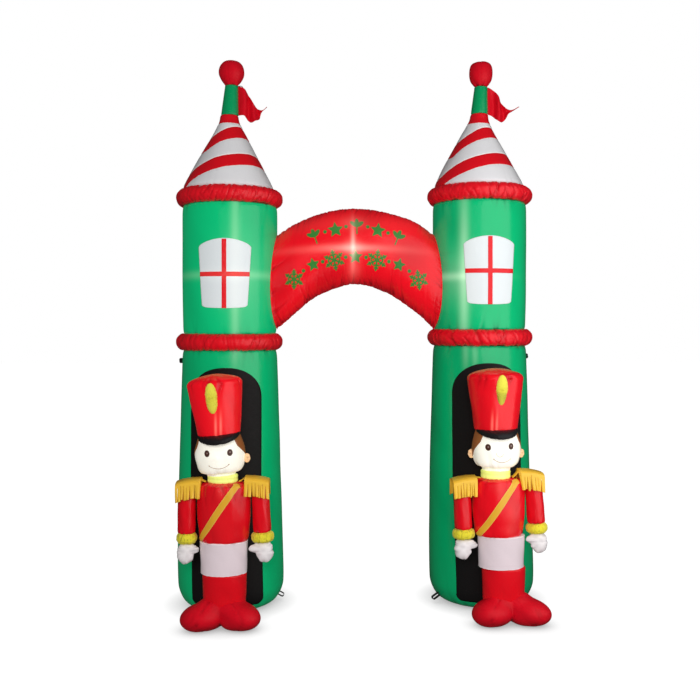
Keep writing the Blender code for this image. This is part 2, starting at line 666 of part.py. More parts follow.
def build_arm(side, hand, spot, parts, cutters):
    """Sleeve, puffed cuff and mitten, one above the other on the arm's own leaning line."""
    row = dict(zip(ARM_COLUMNS, ARMS[side, hand]))
    inward = 1 if hand == "l" else -1
    x, y, _ = spot(row["cuff_x"])
    length = row["shoulder_z"] - row["cuff_z"]
    lean = math.atan2(row["shoulder_x"] - row["cuff_x"], length)
    frame = Matrix.Translation((x, y + ARM_Y, row["cuff_z"])) @ Matrix.Rotation(lean, 4, "Y")
    sleeve = [
        (SLEEVE["top"], length - 0.012), (SLEEVE["shoulder"], length - 0.040),
        (SLEEVE["elbow"], length * 0.45), (SLEEVE["wrist"], GAP),
    ]
    tube = turned(f"{side}_sleeve_{hand}", whole(sleeve, top=length), ARM_SIDES)
    tube.matrix_world = frame
    finish(tube, parts, RED)
    radius = row["cuff_radius"]
    ring = puff(CUFF["seam"], radius, -CUFF["height"], 0.0, steps=3)
    cuff = turned(f"{side}_cuff_{hand}", whole(ring), ARM_SIDES)
    cuff.matrix_world = frame
    finish(cuff, parts, YELLOW)
    under = frame @ Matrix.Translation((0, 0, -CUFF["height"]))
    palm = turned(f"{side}_glove_{hand}", whole(GLOVE, bottom=GLOVE_TIP), ARM_SIDES)
    palm.matrix_world = under @ Matrix.Diagonal((1.0, GLOVE_DEPTH, 1.0, 1.0))
    finish(palm, parts, WHITE)
    thumb = ellipsoid(f"{side}_thumb_{hand}", (THUMB["half"], THUMB["thick"], THUMB["tall"]), 8, 6)
    place = Matrix.Translation((inward * (row["thumb"] - THUMB["half"]), -0.004, THUMB["z"]))
    thumb.matrix_world = under @ place @ Matrix.Rotation(math.radians(inward * 24), 4, "Y")
    cut(palm, hide(finish(thumb, cutters)), "UNION")


def build_epaulette(side, hand, spot, row, parts):
    """A strip of cloth over the shoulder, slit into fringe before and behind, with a strap to the collar."""
    arm = dict(zip(ARM_COLUMNS, ARMS[side, hand]))
    sign = -1 if hand == "l" else 1
    e = EPAULETTE
    shoulder = arm["shoulder_z"] + e["top"]
    pitch = (e["outer"] - e["inner"]) / (FRINGE_STRIPS - 1 + STRIP_SHARE)
    edges = [sign * (row["collar"] - row["jacket"]) + COLLAR_RADIUS + e["collar_gap"]]
    for k in range(FRINGE_STRIPS):
        edges += [e["inner"] + k * pitch, e["inner"] + (k + STRIP_SHARE) * pitch]
    shift = abs(arm["shoulder_x"] - row["jacket"]) - 0.188
    _, arm_y, _ = spot(0.0)

    def place(i, j):
        out = edges[i] + (shift if i else 0.0)
        x, _, _ = spot(row["jacket"] + sign * out)
        on_strap = i == 0
        half = e["strap_half"] if on_strap else e["half_depth"]
        top = e["strap_z"] + row["rise"] if on_strap else shoulder - 0.010 * (out - e["inner"]) / 0.13
        drop = e["strap_drop"] if on_strap else e["drop"] - e["fringe"]
        flare = 0.0 if on_strap else e["flare"]
        path = [
            (-half - flare, top - e["drop"]), (-half, top - drop), (-half * 0.55, top),
            (half * 0.55, top), (half, top - drop), (half + flare, top - e["drop"]),
        ]
        y, z = path[j]
        return (x, arm_y + ARM_Y * 0.5 + y, z)

    def keep(i, j):
        fringe = j in (0, 4)
        return not fringe or i % 2 == 1

    cloth = sheet_grid(f"{side}_epaulette_{hand}", len(edges) - 1, 5, place, keep)
    finish(cloth, parts, GOLD, 0.4)


def build_soldier(side, parts, cutters):
    row = SOLDIERS[side]
    rise = row["rise"]

    def spot(shift):
        return (row["x"] + shift, FOOTPRINT_SHIFT + SOLDIER_Y, 0.0)

    def put(name, profile, shift, colour, depth=BODY_DEPTH):
        thing = turned(f"{side}_{name}", profile, BODY_SIDES)
        thing.location = spot(shift)
        thing.scale = (1.0, depth, 1.0)
        return finish(thing, parts, colour)

    build_boots(side, row, spot, parts, cutters)
    waist, hem = row["waist_z"], row["hem_z"]
    middle = (TROUSERS["low"] + TROUSERS["high"]) / 2 + 0.0015
    trousers = [(TROUSERS["high"], waist - GAP), (middle, (waist + hem) / 2), (TROUSERS["low"], hem)]
    put("trousers", whole(trousers), row["trousers"], WHITE)
    top = JACKET_TOP["z"] + rise
    jacket = [(radius, z + rise) for radius, z in JACKET] + [(TROUSERS["high"] + 0.0005, waist)]
    put("jacket", whole([(JACKET_TOP["radius"], top), *jacket]), row["jacket"], RED)
    collar = puff(COLLAR_RADIUS - 0.006, COLLAR_RADIUS, top + GAP, top + row["collar_height"], steps=2)
    put("collar", whole(collar), row["collar"], LIME, depth=0.90)
    build_sash(side, row, spot, jacket, parts, cutters)
    build_head(side, row, spot, parts, cutters)
    for hand in ("l", "r"):
        build_arm(side, hand, spot, parts, cutters)
        build_epaulette(side, hand, spot, row, parts)


def main():
    clear_scene()
    parts = make_collection("inflatable_arch")
    cutters = make_collection("cutters")
    cutters.hide_render = True
    walls = {side: build_tower(side, parts, cutters) for side in TOWERS}
    left = TOWERS["left"]
    at = (
        left["side"] * TOWER_X + left["lean"] + MAST_TAB["x"], FOOTPRINT_SHIFT + MAST_TAB["y"],
        left["mast_top"] - MAST_TAB["below_ball"],
    )
    webbing_loop("left_mast_tab", "mast_tab", at, 0.0, 0.0, parts)
    build_arch(walls, parts, cutters)
    for side in SOLDIERS:
        build_soldier(side, parts, cutters)


main()
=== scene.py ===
import math

import bpy
import numpy as np
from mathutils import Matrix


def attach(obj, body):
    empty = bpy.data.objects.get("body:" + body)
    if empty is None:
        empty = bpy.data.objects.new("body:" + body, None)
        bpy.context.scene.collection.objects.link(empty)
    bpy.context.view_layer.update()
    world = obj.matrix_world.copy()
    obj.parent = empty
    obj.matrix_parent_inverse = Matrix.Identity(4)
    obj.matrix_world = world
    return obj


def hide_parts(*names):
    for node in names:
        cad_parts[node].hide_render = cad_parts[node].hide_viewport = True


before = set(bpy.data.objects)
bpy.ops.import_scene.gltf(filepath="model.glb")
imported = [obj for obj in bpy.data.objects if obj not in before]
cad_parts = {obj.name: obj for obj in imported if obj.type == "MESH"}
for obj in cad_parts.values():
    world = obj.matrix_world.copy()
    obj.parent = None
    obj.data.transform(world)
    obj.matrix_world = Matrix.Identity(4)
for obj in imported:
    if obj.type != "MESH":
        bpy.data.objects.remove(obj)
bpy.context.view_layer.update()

towerAxisX, towerAxisY = 0.7075, 0.137
towers = {
    "left": {
        "x": -towerAxisX, "lowRing": 1.459, "topRing": 2.258, "mastTop": 2.893, "mastLean": 0.01,
        "doorLift": 0.0, "roofBow": (-0.006, -0.006, -0.005, -0.001, -0.002, -0.003), "windowFoot": 1.459,
        "seed": 11, "shift": 0.0025, "lean": 0.006, "doorLean": 0.01, "windowShift": -0.0055,
        "bars": (-0.0065, 0.362), "tabZ": 1.35, "stakeHeading": 0, "ball": "round", "sign": -1,
    },
    "right": {
        "x": towerAxisX, "lowRing": 1.483, "topRing": 2.283, "mastTop": 2.907, "mastLean": 0.009,
        "doorLift": 0.022, "roofBow": (-0.004, -0.008, -0.008, -0.008, -0.003, 0.0), "windowFoot": 1.481,
        "seed": 47, "shift": -0.001, "lean": 0.01, "doorLean": 0.018, "windowShift": 0.0083,
        "bars": (0.008, 0.3625), "tabZ": 1.372, "stakeHeading": 200, "ball": "square", "sign": 1,
    },
}
ringHalf = 0.049
roofRise = 0.416  # from the eaves to the mast's foot
# A pucker this deep gets the full painted shade.
foldShadeDepth = 0.0055  # a pucker this deep is shaded fully


def lengthAlong(points, axis=0):
    # Running length of the steps between neighbours.
    step = np.diff(points, axis=axis, prepend=np.take(points, [0], axis))
    return np.cumsum(np.linalg.norm(step, axis=-1), axis=axis)


def directions(path):
    # Unit steps along a path.
    step = np.gradient(path, axis=0)
    return step / np.linalg.norm(step, axis=1)[:, None]


def smoothPath(points, count):
    # Catmull-Rom curve through the points, then samples at even steps of its length.
    points = np.array(points, float)
    held = np.vstack([2 * points[0] - points[1], points, 2 * points[-1] - points[-2]])
    part = np.linspace(0, len(points) - 1, 40 * (len(points) - 1) + 1)
    first = np.minimum(part.astype(int), len(points) - 2)
    t = (part - first)[:, None]
    a, b, c, d = (held[first + k] for k in range(4))
    curve = 0.5 * (2 * b + (c - a) * t + (2 * a - 5 * b + 4 * c - d) * t**2 + (3 * b - a - 3 * c + d) * t**3)
    length = lengthAlong(curve)
    even = np.linspace(0, length[-1], count)
    return np.stack([np.interp(even, length, curve[:, k]) for k in range(curve.shape[1])], axis=1)


def turnAbout(axis, degrees):
    # Rotation matrix: the cosine on the diagonal and the sines across it.
    a, b = {"x": (1, 2), "y": (2, 0), "z": (0, 1)}[axis]
    turn = np.eye(3)
    turn[a, a] = turn[b, b] = math.cos(math.radians(degrees))
    turn[b, a] = math.sin(math.radians(degrees))
    turn[a, b] = -turn[b, a]
    return turn


def seamFolds(around, away, total, folds, seed):
    # Puckers along a seam, each a groove depth * exp(-|offset / width|^1.4) * exp(-away / reach).
    count, depth, width, reach, slant = folds
    rng = np.random.default_rng(seed)
    relief = np.zeros(np.broadcast(around, away).shape)
    for _ in range(count):
        at, size, far, lean = rng.random(4)
        offset = around - at * total - (lean - 0.5) * 2 * slant * away
        offset = (offset + total / 2) % total - total / 2
        groove = np.exp(-np.abs(offset / (width * (0.7 + 0.6 * size))) ** 1.4)
        groove = groove * np.exp(-away / (reach * (0.4 + 1.2 * far)))
        relief -= depth * (0.4 + 0.8 * size) * groove
    return relief


def puckers(theta, away, radius, folds, seed):
    # Seam folds round a tube of that radius.
    return seamFolds(theta * radius, away, 2 * np.pi * radius, folds, seed)


def endPuckers(theta, s, total, radius, folds, seed):
    # The same folds at both ends of a tube, those at the top from the next seed.
    return puckers(theta, s, radius, folds, seed) + puckers(theta, total - s, radius, folds, seed + 1)


def swell(theta, s, seed, size):
    # Slow bulges of an air-filled tube: a few sine waves round it and along it.
    rng = np.random.default_rng(seed)
    relief = np.zeros(np.broadcast(theta, s).shape)
    for waves in (2, 3, 5, 7):
        phase, along, shift = rng.random(3)
        turning = np.sin(waves * theta + 6.28 * phase + (4 + 9 * along) * s)
        relief += turning * np.sin((3 + 8 * shift) * s + 6.28 * along)
    return size * relief / 2.5


def crumple(theta, s, radius, seed, size, scale):
    # Creased satin: narrow grooves exp(-(sin / 0.4)^2) on slanted, meandering waves, strong only in places.
    rng = np.random.default_rng(seed)
    relief = np.zeros(np.broadcast(theta, s).shape)
    for _ in range(7):
        turn, phase, pitch, weight = rng.random(4)
        waves = round(math.pi * radius / (scale * (0.7 + 0.9 * pitch)))
        bend = 1.3 * np.sin(round(3 + 6 * weight) * theta + 6.28 * phase)
        ridge = np.sin(waves * theta + (turn - 0.5) * 5.0 * s / scale + 6.28 * phase + bend)
        mask = np.sin(round(5 + 14 * turn) * theta + 6.28 * pitch + 30 * (weight - 0.5) * s)
        relief -= (0.4 + weight) * (0.5 + 0.5 * mask) ** 2 * np.exp(-((ridge / 0.40) ** 2))
    return size * (relief + 0.4)


def makeWall(points, centre, relief, depth=1.0, turn=np.eye(3), lean=((0, 1), (0, 0))):
    # A turned wall from (radius, height) points, foot first. relief(theta, s, total) pushes it outwards,
    # and lean holds heights with the sideways shifts there.
    path = smoothPath(points, 400)
    step = directions(path)
    length = lengthAlong(path)
    return {
        "s": length, "r": path[:, 0], "z": path[:, 1], "outR": step[:, 1], "outZ": -step[:, 0],
        "total": length[-1], "centre": np.array(centre, float), "depth": depth, "relief": relief,
        "turn": turn, "lean": lean,
    }


def wallPoints(wall, theta, s, lift=0.0):
    # x = r sin(theta), y = -depth r cos(theta), pushed out along the wall's own direction by relief and lift.
    r, z, outR, outZ = (np.interp(s, wall["s"], wall[key]) for key in ("r", "z", "outR", "outZ"))
    out = wall["relief"](theta, s, wall["total"]) + lift
    r, z = r + outR * out, z + outZ * out
    x = r * np.sin(theta) + np.interp(z, *wall["lean"])
    points = np.stack([x, -wall["depth"] * r * np.cos(theta), z], axis=-1)
    return points @ wall["turn"].T + wall["centre"]


def lengthAt(wall, z):
    # Length along the wall at a height of its own.
    return np.interp(z, wall["z"], wall["s"])


def radiusAt(wall, s):
    # Bare radius at a length along the wall.
    return np.interp(s, wall["s"], wall["r"])


def putIn(name, data):
    # An object with this data, in the scene.
    holder = bpy.data.objects.new(name, data)
    bpy.context.scene.collection.objects.link(holder)
    return holder


def putMesh(name, points, faces, corners, marks=None):
    # Vertices, faces, the cloth's own UV map in metres, and any marks that its material reads.
    mesh = bpy.data.meshes.new(name)
    mesh.from_pydata(points.tolist(), [], [f for block in faces for f in block.tolist()])
    layer = mesh.uv_layers.new(name="cloth")
    layer.data.foreach_set("uv", np.concatenate([c.reshape(-1) for c in corners]).astype(np.float32))
    for key, values in (marks or {}).items():
        putMark(mesh, key, values)
    mesh.shade_smooth()
    mesh.update()
    return putIn(name, mesh)


def putMark(mesh, key, values):
    # One number per vertex, under a name that the materials read.
    mark = mesh.attributes.new(key, "FLOAT", "POINT")
    mark.data.foreach_set("value", values.astype(np.float32))


def squares(grid):
    # The four corners of every square of a grid, in turn.
    return np.stack([grid[:-1, :-1], grid[:-1, 1:], grid[1:, 1:], grid[1:, :-1]], axis=2)


def closedTube(name, points, uv, marks=None):
    # Rows from foot to top, columns round it, closed by a fan at each end.
    rows, columns = points.shape[:2]
    index = np.pad(np.arange(rows * columns).reshape(rows, columns), ((0, 0), (0, 1)), mode="wrap")
    near, far = index[:, :-1], index[:, 1:]
    foot = np.stack([np.full(columns, rows * columns), far[0], near[0]], axis=-1)
    top = np.stack([np.full(columns, rows * columns + 1), near[-1], far[-1]], axis=-1)
    footUv = np.stack([(uv[0, :-1] + uv[0, 1:]) / 2, uv[0, 1:], uv[0, :-1]], axis=1)
    topUv = np.stack([(uv[-1, :-1] + uv[-1, 1:]) / 2, uv[-1, :-1], uv[-1, 1:]], axis=1)
    points = np.vstack([points.reshape(-1, 3), points[0].mean(0), points[-1].mean(0)])
    values = {
        key: np.concatenate([mark.reshape(-1), [mark[0].mean(), mark[-1].mean()]])
        for key, mark in (marks or {}).items()
    }
    faces = [squares(index).reshape(-1, 4), foot, top]
    return putMesh(name, points, faces, [squares(uv), footUv, topUv], values)


def openSheet(name, points, uv, thickness, keep=None, marks=None):
    # Rows from foot to top, columns from left to right, thickened about its middle. Keep is the squares left.
    rows, columns = points.shape[:2]
    stays = np.ones((rows - 1, columns - 1), bool) if keep is None else keep
    quads = squares(np.arange(rows * columns).reshape(rows, columns))[stays]
    used, quads = np.unique(quads, return_inverse=True)
    values = {key: mark.reshape(-1)[used] for key, mark in (marks or {}).items()}
    piece = putMesh(name, points.reshape(-1, 3)[used], [quads.reshape(-1, 4)], [squares(uv)[stays]], values)
    thicken = piece.modifiers.new("clothThickness", "SOLIDIFY")
    thicken.thickness = thickness
    thicken.offset = 0.0
    return piece


def closedLoop(name, points, uv):
    # A band that closes on itself both along its path (rows) and round its section (columns).
    rows, columns = points.shape[:2]
    index = np.pad(np.arange(rows * columns).reshape(rows, columns), ((0, 1), (0, 1)), mode="wrap")
    return putMesh(name, points.reshape(-1, 3), [squares(index).reshape(-1, 4)], [squares(uv)])


def sewTube(name, wall, columns, rows, cloth, marks=None, crowd=0.0, node=""):
    # The whole turned wall as one closed, filled piece. Marks are functions of angle and length; one more
    # mark says how far the cloth is drawn in there, for the painted shade in the puckers. Crowd draws the
    # columns to the front.
    around = np.linspace(-np.pi, np.pi, columns + 1)
    theta, s = np.meshgrid(around - crowd * np.sin(around), np.linspace(0, wall["total"], rows))
    uv = np.stack([theta * wall["r"].max(), s], axis=-1)
    made = {key: mark(theta, s)[:, :-1] for key, mark in (marks or {}).items()}
    made["fold"] = np.clip(-wall["relief"](theta, s, wall["total"])[:, :-1] / foldShadeDepth, 0, 1)
    piece = closedTube(name, wallPoints(wall, theta, s)[:, :-1], uv, made)
    declare(piece, cloth, node)


def bodyOfBalls(name, centre, balls, columns, rows, relief, turn=np.eye(3), join=26, pressed=False):
    # The outer skin of joined ellipsoids (place, half axes, turn), seen from a point inside them all: the
    # farthest root of |axes (t d - place)| = 1 for every direction d, the largest of them, softly joined.
    theta, rise = np.meshgrid(np.linspace(-np.pi, np.pi, columns + 1), np.linspace(0.03, np.pi - 0.03, rows))
    way = np.stack([np.sin(rise) * np.sin(theta), -np.sin(rise) * np.cos(theta), -np.cos(rise)], axis=-1)
    bare = 0.0
    for at, half, *turned in balls:
        axes = np.diag(1 / np.array(half, float)) @ (turned[0].T if turned else np.eye(3))
        o = -axes @ np.array(at, float)
        d = way @ axes.T
        b, c, square = d @ o, o @ o - 1.0, (d * d).sum(-1)
        bare = bare + np.maximum((-b + np.sqrt(np.maximum(b * b - square * c, 0))) / square, 0.001) ** join
    bare = bare ** (1 / join)
    reach = bare + relief(theta, rise, bare)
    points = (way * reach[..., None]) @ turn.T + np.array(centre, float)
    if pressed:  # on the floor
        points[..., 2] = np.logaddexp(points[..., 2] * 350, 0) / 350
    uv = np.stack([theta, rise], axis=-1) * reach.mean()
    # The last mark is painted shade where the relief draws the skin in.
    return closedTube(name, points[:, :-1], uv, {"fold": np.clip((bare - reach)[:, :-1] / foldShadeDepth, 0, 1)})


# Painted highlights and painted light: bright emission patches on the cloth, x, z, half width, half height
# and strength of each.
paintedLightPatches = {
    "left_drum": [
        (-0.656, 1.817, 0.024, 0.6, 0.2), (-0.656, 1.817, 0.26, 0.022, 0.14), (-0.64, 1.817, 0.1, 0.16, 0.08),
    ],
    "right_drum": [
        (0.58, 1.815, 0.024, 0.42, 0.3), (0.575, 1.815, 0.16, 0.022, 0.22), (0.56, 1.815, 0.07, 0.13, 0.12),
    ],
    "left_window": [(-0.656, 1.817, 0.04, 0.6, 0.12), (-0.656, 1.817, 0.26, 0.03, 0.09)],
    "right_window": [(0.605, 1.815, 0.04, 0.6, 0.05)],
    "left_tower_base": [(-0.656, 1.4, 0.024, 0.1, 0.12), (-0.6, 1.4, 0.07, 0.11, 0.015)],
    "right_tower_base": [
        (0.587, 1.4, 0.016, 0.1, 0.1), (0.634, 1.4, 0.016, 0.1, 0.1), (0.69, 1.4, 0.07, 0.11, 0.01),
    ],
    "arch": [
        (-0.022, 1.99, 0.012, 0.1, 0.55), (-0.03, 1.972, 0.34, 0.022, 0.15),
        (-0.022, 1.972, 0.13, 0.018, 0.3), (-0.022, 1.972, 0.045, 0.04, 0.36),
        (-0.015, 1.865, 0.035, 0.05, 0.1), (-0.02, 2.11, 0.06, 0.035, 0.08), (0.0, 2.105, 0.48, 0.05, 0.025),
    ],
    "left_hat": [
        (-0.732, 1.035, 0.006, 0.06, 0.42), (-0.707, 1.035, 0.006, 0.06, 0.42),
        (-0.705, 1.09, 0.05, 0.11, 0.04),
    ],
    "right_hat": [
        (0.676, 1.038, 0.006, 0.055, 0.4), (0.699, 1.038, 0.006, 0.055, 0.4), (0.72, 1.1, 0.05, 0.11, 0.02),
    ],
    "left_head": [(-0.715, 0.88, 0.14, 0.11, 0.1)],
    "right_head": [(0.712, 0.89, 0.14, 0.11, 0.1)],
    "left_collar": [(-0.705, 0.765, 0.06, 0.06, 0.06)],
    "right_collar": [(0.715, 0.77, 0.06, 0.06, 0.06)],
    "left_jacket": [(-0.704, 0.719, 0.02, 0.04, 0.08), (-0.69, 0.56, 0.08, 0.2, 0.01)],
    "right_jacket": [(0.716, 0.718, 0.02, 0.04, 0.08), (0.78, 0.53, 0.03, 0.16, 0.05)],
}
# Painted light: an even emission over the whole piece, in the cloth's own colour.
paintedEvenLight = {
    "left_tower_base": 0.16, "right_tower_base": 0.03, "left_drum": 0.34, "right_drum": 0.18, "arch": 0.21,
    "left_hat": 0.28, "right_hat": 0.1, "left_head": 0.21, "right_head": 0.22, "left_collar": 0.2,
    "right_collar": 0.22, "left_ear": 0.2, "right_ear": 0.25, "right_jacket": 0.08, "left_jacket": 0.02,
    "left_trousers": 0.12, "right_trousers": 0.08, "left_glove": 0.14, "right_glove": 0.14,
    "left_window": 0.06,
}


def addPaintedLight(piece):
    # Painted highlights and light: the sum of strength * exp(-(x / half width)^2 - (z / half height)^2) over
    # the piece's own patches.
    place = np.empty(len(piece.data.vertices) * 3)
    piece.data.vertices.foreach_get("co", place)
    x, _, z = place.reshape(-1, 3).T
    if piece.name == "arch_cloth":
        z = z + 0.12 * x**2
    glow = np.zeros(len(x))
    for key, patches in paintedLightPatches.items():
        if piece.name.startswith(key):
            for atX, atZ, wide, tall, strength in patches:
                glow += strength * np.exp(-(((x - atX) / wide) ** 2) - ((z - atZ) / tall) ** 2)
    even = sum(strength for key, strength in paintedEvenLight.items() if piece.name.startswith(key))
    # Marks for the material: the painted highlight patches, and under inner the piece's even painted light.
    putMark(piece.data, "glow", glow)
    putMark(piece.data, "inner", np.full(len(x), even))


def declare(piece, cloth, node=""):
    # A piece stands for the node of its own name, or for the one given; None is for a piece with no node.
    addPaintedLight(piece)
    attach(piece, "root")
    if node is not None:
        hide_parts(node or piece.name.removesuffix("_cloth"))
    piece.data.materials.append(cloths[cloth])


def plug(tree, socket, value):
    # A socket takes a link from another socket, or a plain value; a colour gets its fourth number.
    if isinstance(value, bpy.types.NodeSocket):
        tree.links.new(value, socket)
    elif socket.type == "RGBA" and len(value) == 3:
        socket.default_value = (*value, 1.0)
    else:
        socket.default_value = value


def addNode(tree, kind, inputs=None, **settings):
    # A node with its settings, and its inputs linked or set.
    node = tree.nodes.new(kind)
    for key, value in settings.items():
        setattr(node, key, value)
    for key, value in (inputs or {}).items():
        plug(tree, node.inputs[key], value)
    return node


def calc(tree, operation, *values):
    # A math node on one to three values.
    return addNode(tree, "ShaderNodeMath", dict(enumerate(values)), operation=operation).outputs[0]


def blendColours(tree, factor, low, high, how="MIX"):
    # Low where the factor is 0 and high where it is 1.
    inputs = {"Factor": factor, 6: low, 7: high}
    return addNode(tree, "ShaderNodeMix", inputs, data_type="RGBA", blend_type=how).outputs[2]


def readMark(tree, key):
    # The number that a vertex mark holds here.
    return addNode(tree, "ShaderNodeAttribute", attribute_name=key).outputs["Fac"]


def noise(tree, place, scale, detail=2.0):
    # Soft random values between 0 and 1.
    return addNode(tree, "ShaderNodeTexNoise", {"Vector": place, "Scale": scale, "Detail": detail}).outputs[0]


def makeWeave():
    # Plain weave on the cloth's UV: in a checker of threads, each thread's normal tips from side to side
    # across its own width, so light streaks along both thread directions.
    group = bpy.data.node_groups.new("plainWeave", "ShaderNodeTree")
    for label, way, kind in (
        ("Threads", "INPUT", "Float"), ("Tip", "INPUT", "Float"),
        ("Normal", "OUTPUT", "Vector"), ("Thread", "OUTPUT", "Float"),
    ):
        group.interface.new_socket(label, in_out=way, socket_type="NodeSocket" + kind)
    come, go = group.nodes.new("NodeGroupInput"), group.nodes.new("NodeGroupOutput")
    uv = addNode(group, "ShaderNodeUVMap", uv_map="cloth").outputs[0]
    split = addNode(group, "ShaderNodeSeparateXYZ", {0: uv})
    u, v = (calc(group, "MULTIPLY", split.outputs[k], come.outputs["Threads"]) for k in (0, 1))
    count = calc(group, "ADD", calc(group, "FLOOR", u), calc(group, "FLOOR", v))
    checker = calc(group, "FLOORED_MODULO", count, 2.0)
    tips = []
    for place, mask in ((u, checker), (v, calc(group, "SUBTRACT", 1.0, checker))):
        across = calc(group, "MULTIPLY_ADD", calc(group, "FRACT", place), 2.0, -1.0)
        tip = calc(group, "MULTIPLY", calc(group, "MULTIPLY", across, mask), come.outputs["Tip"])
        tips.append(calc(group, "MULTIPLY_ADD", tip, 0.5, 0.5))
    packed = addNode(group, "ShaderNodeCombineColor", {0: tips[0], 1: tips[1], 2: 1.0})
    normal = addNode(group, "ShaderNodeNormalMap", {"Color": packed.outputs[0]}, uv_map="cloth")
    group.links.new(normal.outputs[0], go.inputs["Normal"])
    group.links.new(checker, go.inputs["Thread"])
    return group


weave = makeWeave()
# In every style, lamp is the tint of the painted highlights, veil how far they take it, and groove how dark
# the painted shade in the puckers is.
plainCloth = {
    "prints": (), "threads": 330.0, "tip": 0.12, "stretch": (1.0, 1.0, 3.2), "crinkle": 42.0, "bump": 0.0004,
    "speckle": 0.1, "shade": (0.86, 0.84, 0.86), "roughness": 0.2, "gloss": 0.5, "sheen": 0.0,
    "lamp": (1.0, 0.98, 0.8), "veil": 1.0, "groove": 0.55,
}


def clothMaterial(name, **changes):
    # Woven cloth: weave in the normal, crinkles in the bump, a little variation in the colour, painted shade
    # in the puckers, and painted highlights and painted light as emission. A print (mark, dye, low, high)
    # comes in as its mark goes from low to high.
    style = {**plainCloth, **changes}
    made = bpy.data.materials.new(name)
    made.use_nodes = True
    tree = made.node_tree
    shader = tree.nodes["Principled BSDF"].inputs
    place = addNode(tree, "ShaderNodeTexCoord").outputs["Object"]
    threads = addNode(tree, "ShaderNodeGroup", node_tree=weave)
    threads.inputs["Threads"].default_value = style["threads"]
    threads.inputs["Tip"].default_value = style["tip"]
    stretched = addNode(tree, "ShaderNodeMapping", {"Vector": place, "Scale": style["stretch"]}).outputs[0]
    crinkle, soft = noise(tree, stretched, style["crinkle"], 4.0), noise(tree, place, 7.0)
    bump = addNode(tree, "ShaderNodeBump", {
        "Height": calc(tree, "MULTIPLY_ADD", soft, 1.5, crinkle), "Strength": 1.0, "Distance": style["bump"],
        "Normal": threads.outputs["Normal"],
    })
    plug(tree, shader["Normal"], bump.outputs[0])
    colour = style["colour"]
    for mark, dye, low, high in style["prints"]:
        inputs = {"Value": readMark(tree, mark), "From Min": low, "From Max": high}
        inside = addNode(tree, "ShaderNodeMapRange", inputs).outputs[0]
        colour = blendColours(tree, inside, colour, dye)
    # Painted shade: the colour is darkened by groove where the cloth is drawn into a pucker.
    drawn = calc(tree, "MULTIPLY_ADD", readMark(tree, "fold"), -style["groove"], 1.0)
    colour = blendColours(tree, 1.0, colour, drawn, "MULTIPLY")
    speckle = calc(tree, "MULTIPLY", noise(tree, place, 260.0), style["speckle"])
    shade = calc(tree, "ADD", calc(tree, "MULTIPLY", soft, 0.2), speckle)
    dark = blendColours(tree, shade, (1.08, 1.08, 1.08), style["shade"])
    plug(tree, shader["Base Color"], blendColours(tree, 1.0, colour, dark, "MULTIPLY"))
    rough = addNode(tree, "ShaderNodeMapRange", {
        "Value": crinkle, "From Min": 0.3, "From Max": 0.7,
        "To Min": style["roughness"] - 0.05, "To Max": style["roughness"] + 0.07,
    })
    plug(tree, shader["Roughness"], rough.outputs[0])
    # Painted highlights and painted light: emission from the two painted light marks, in the cloth's colour
    # turned toward the lamp tint by the veil share.
    glow = readMark(tree, "glow")
    paintedLightSum = calc(tree, "ADD", glow, readMark(tree, "inner"))
    share = calc(tree, "DIVIDE", glow, calc(tree, "ADD", paintedLightSum, 0.0001))
    share = calc(tree, "MULTIPLY", share, style["veil"])
    plug(tree, shader["Emission Color"], blendColours(tree, share, colour, style["lamp"]))
    plug(tree, shader["Emission Strength"], paintedLightSum)
    shader["Specular IOR Level"].default_value = style["gloss"]
    shader["Sheen Weight"].default_value = style["sheen"]
    shader["Sheen Roughness"].default_value = 0.4
    return made


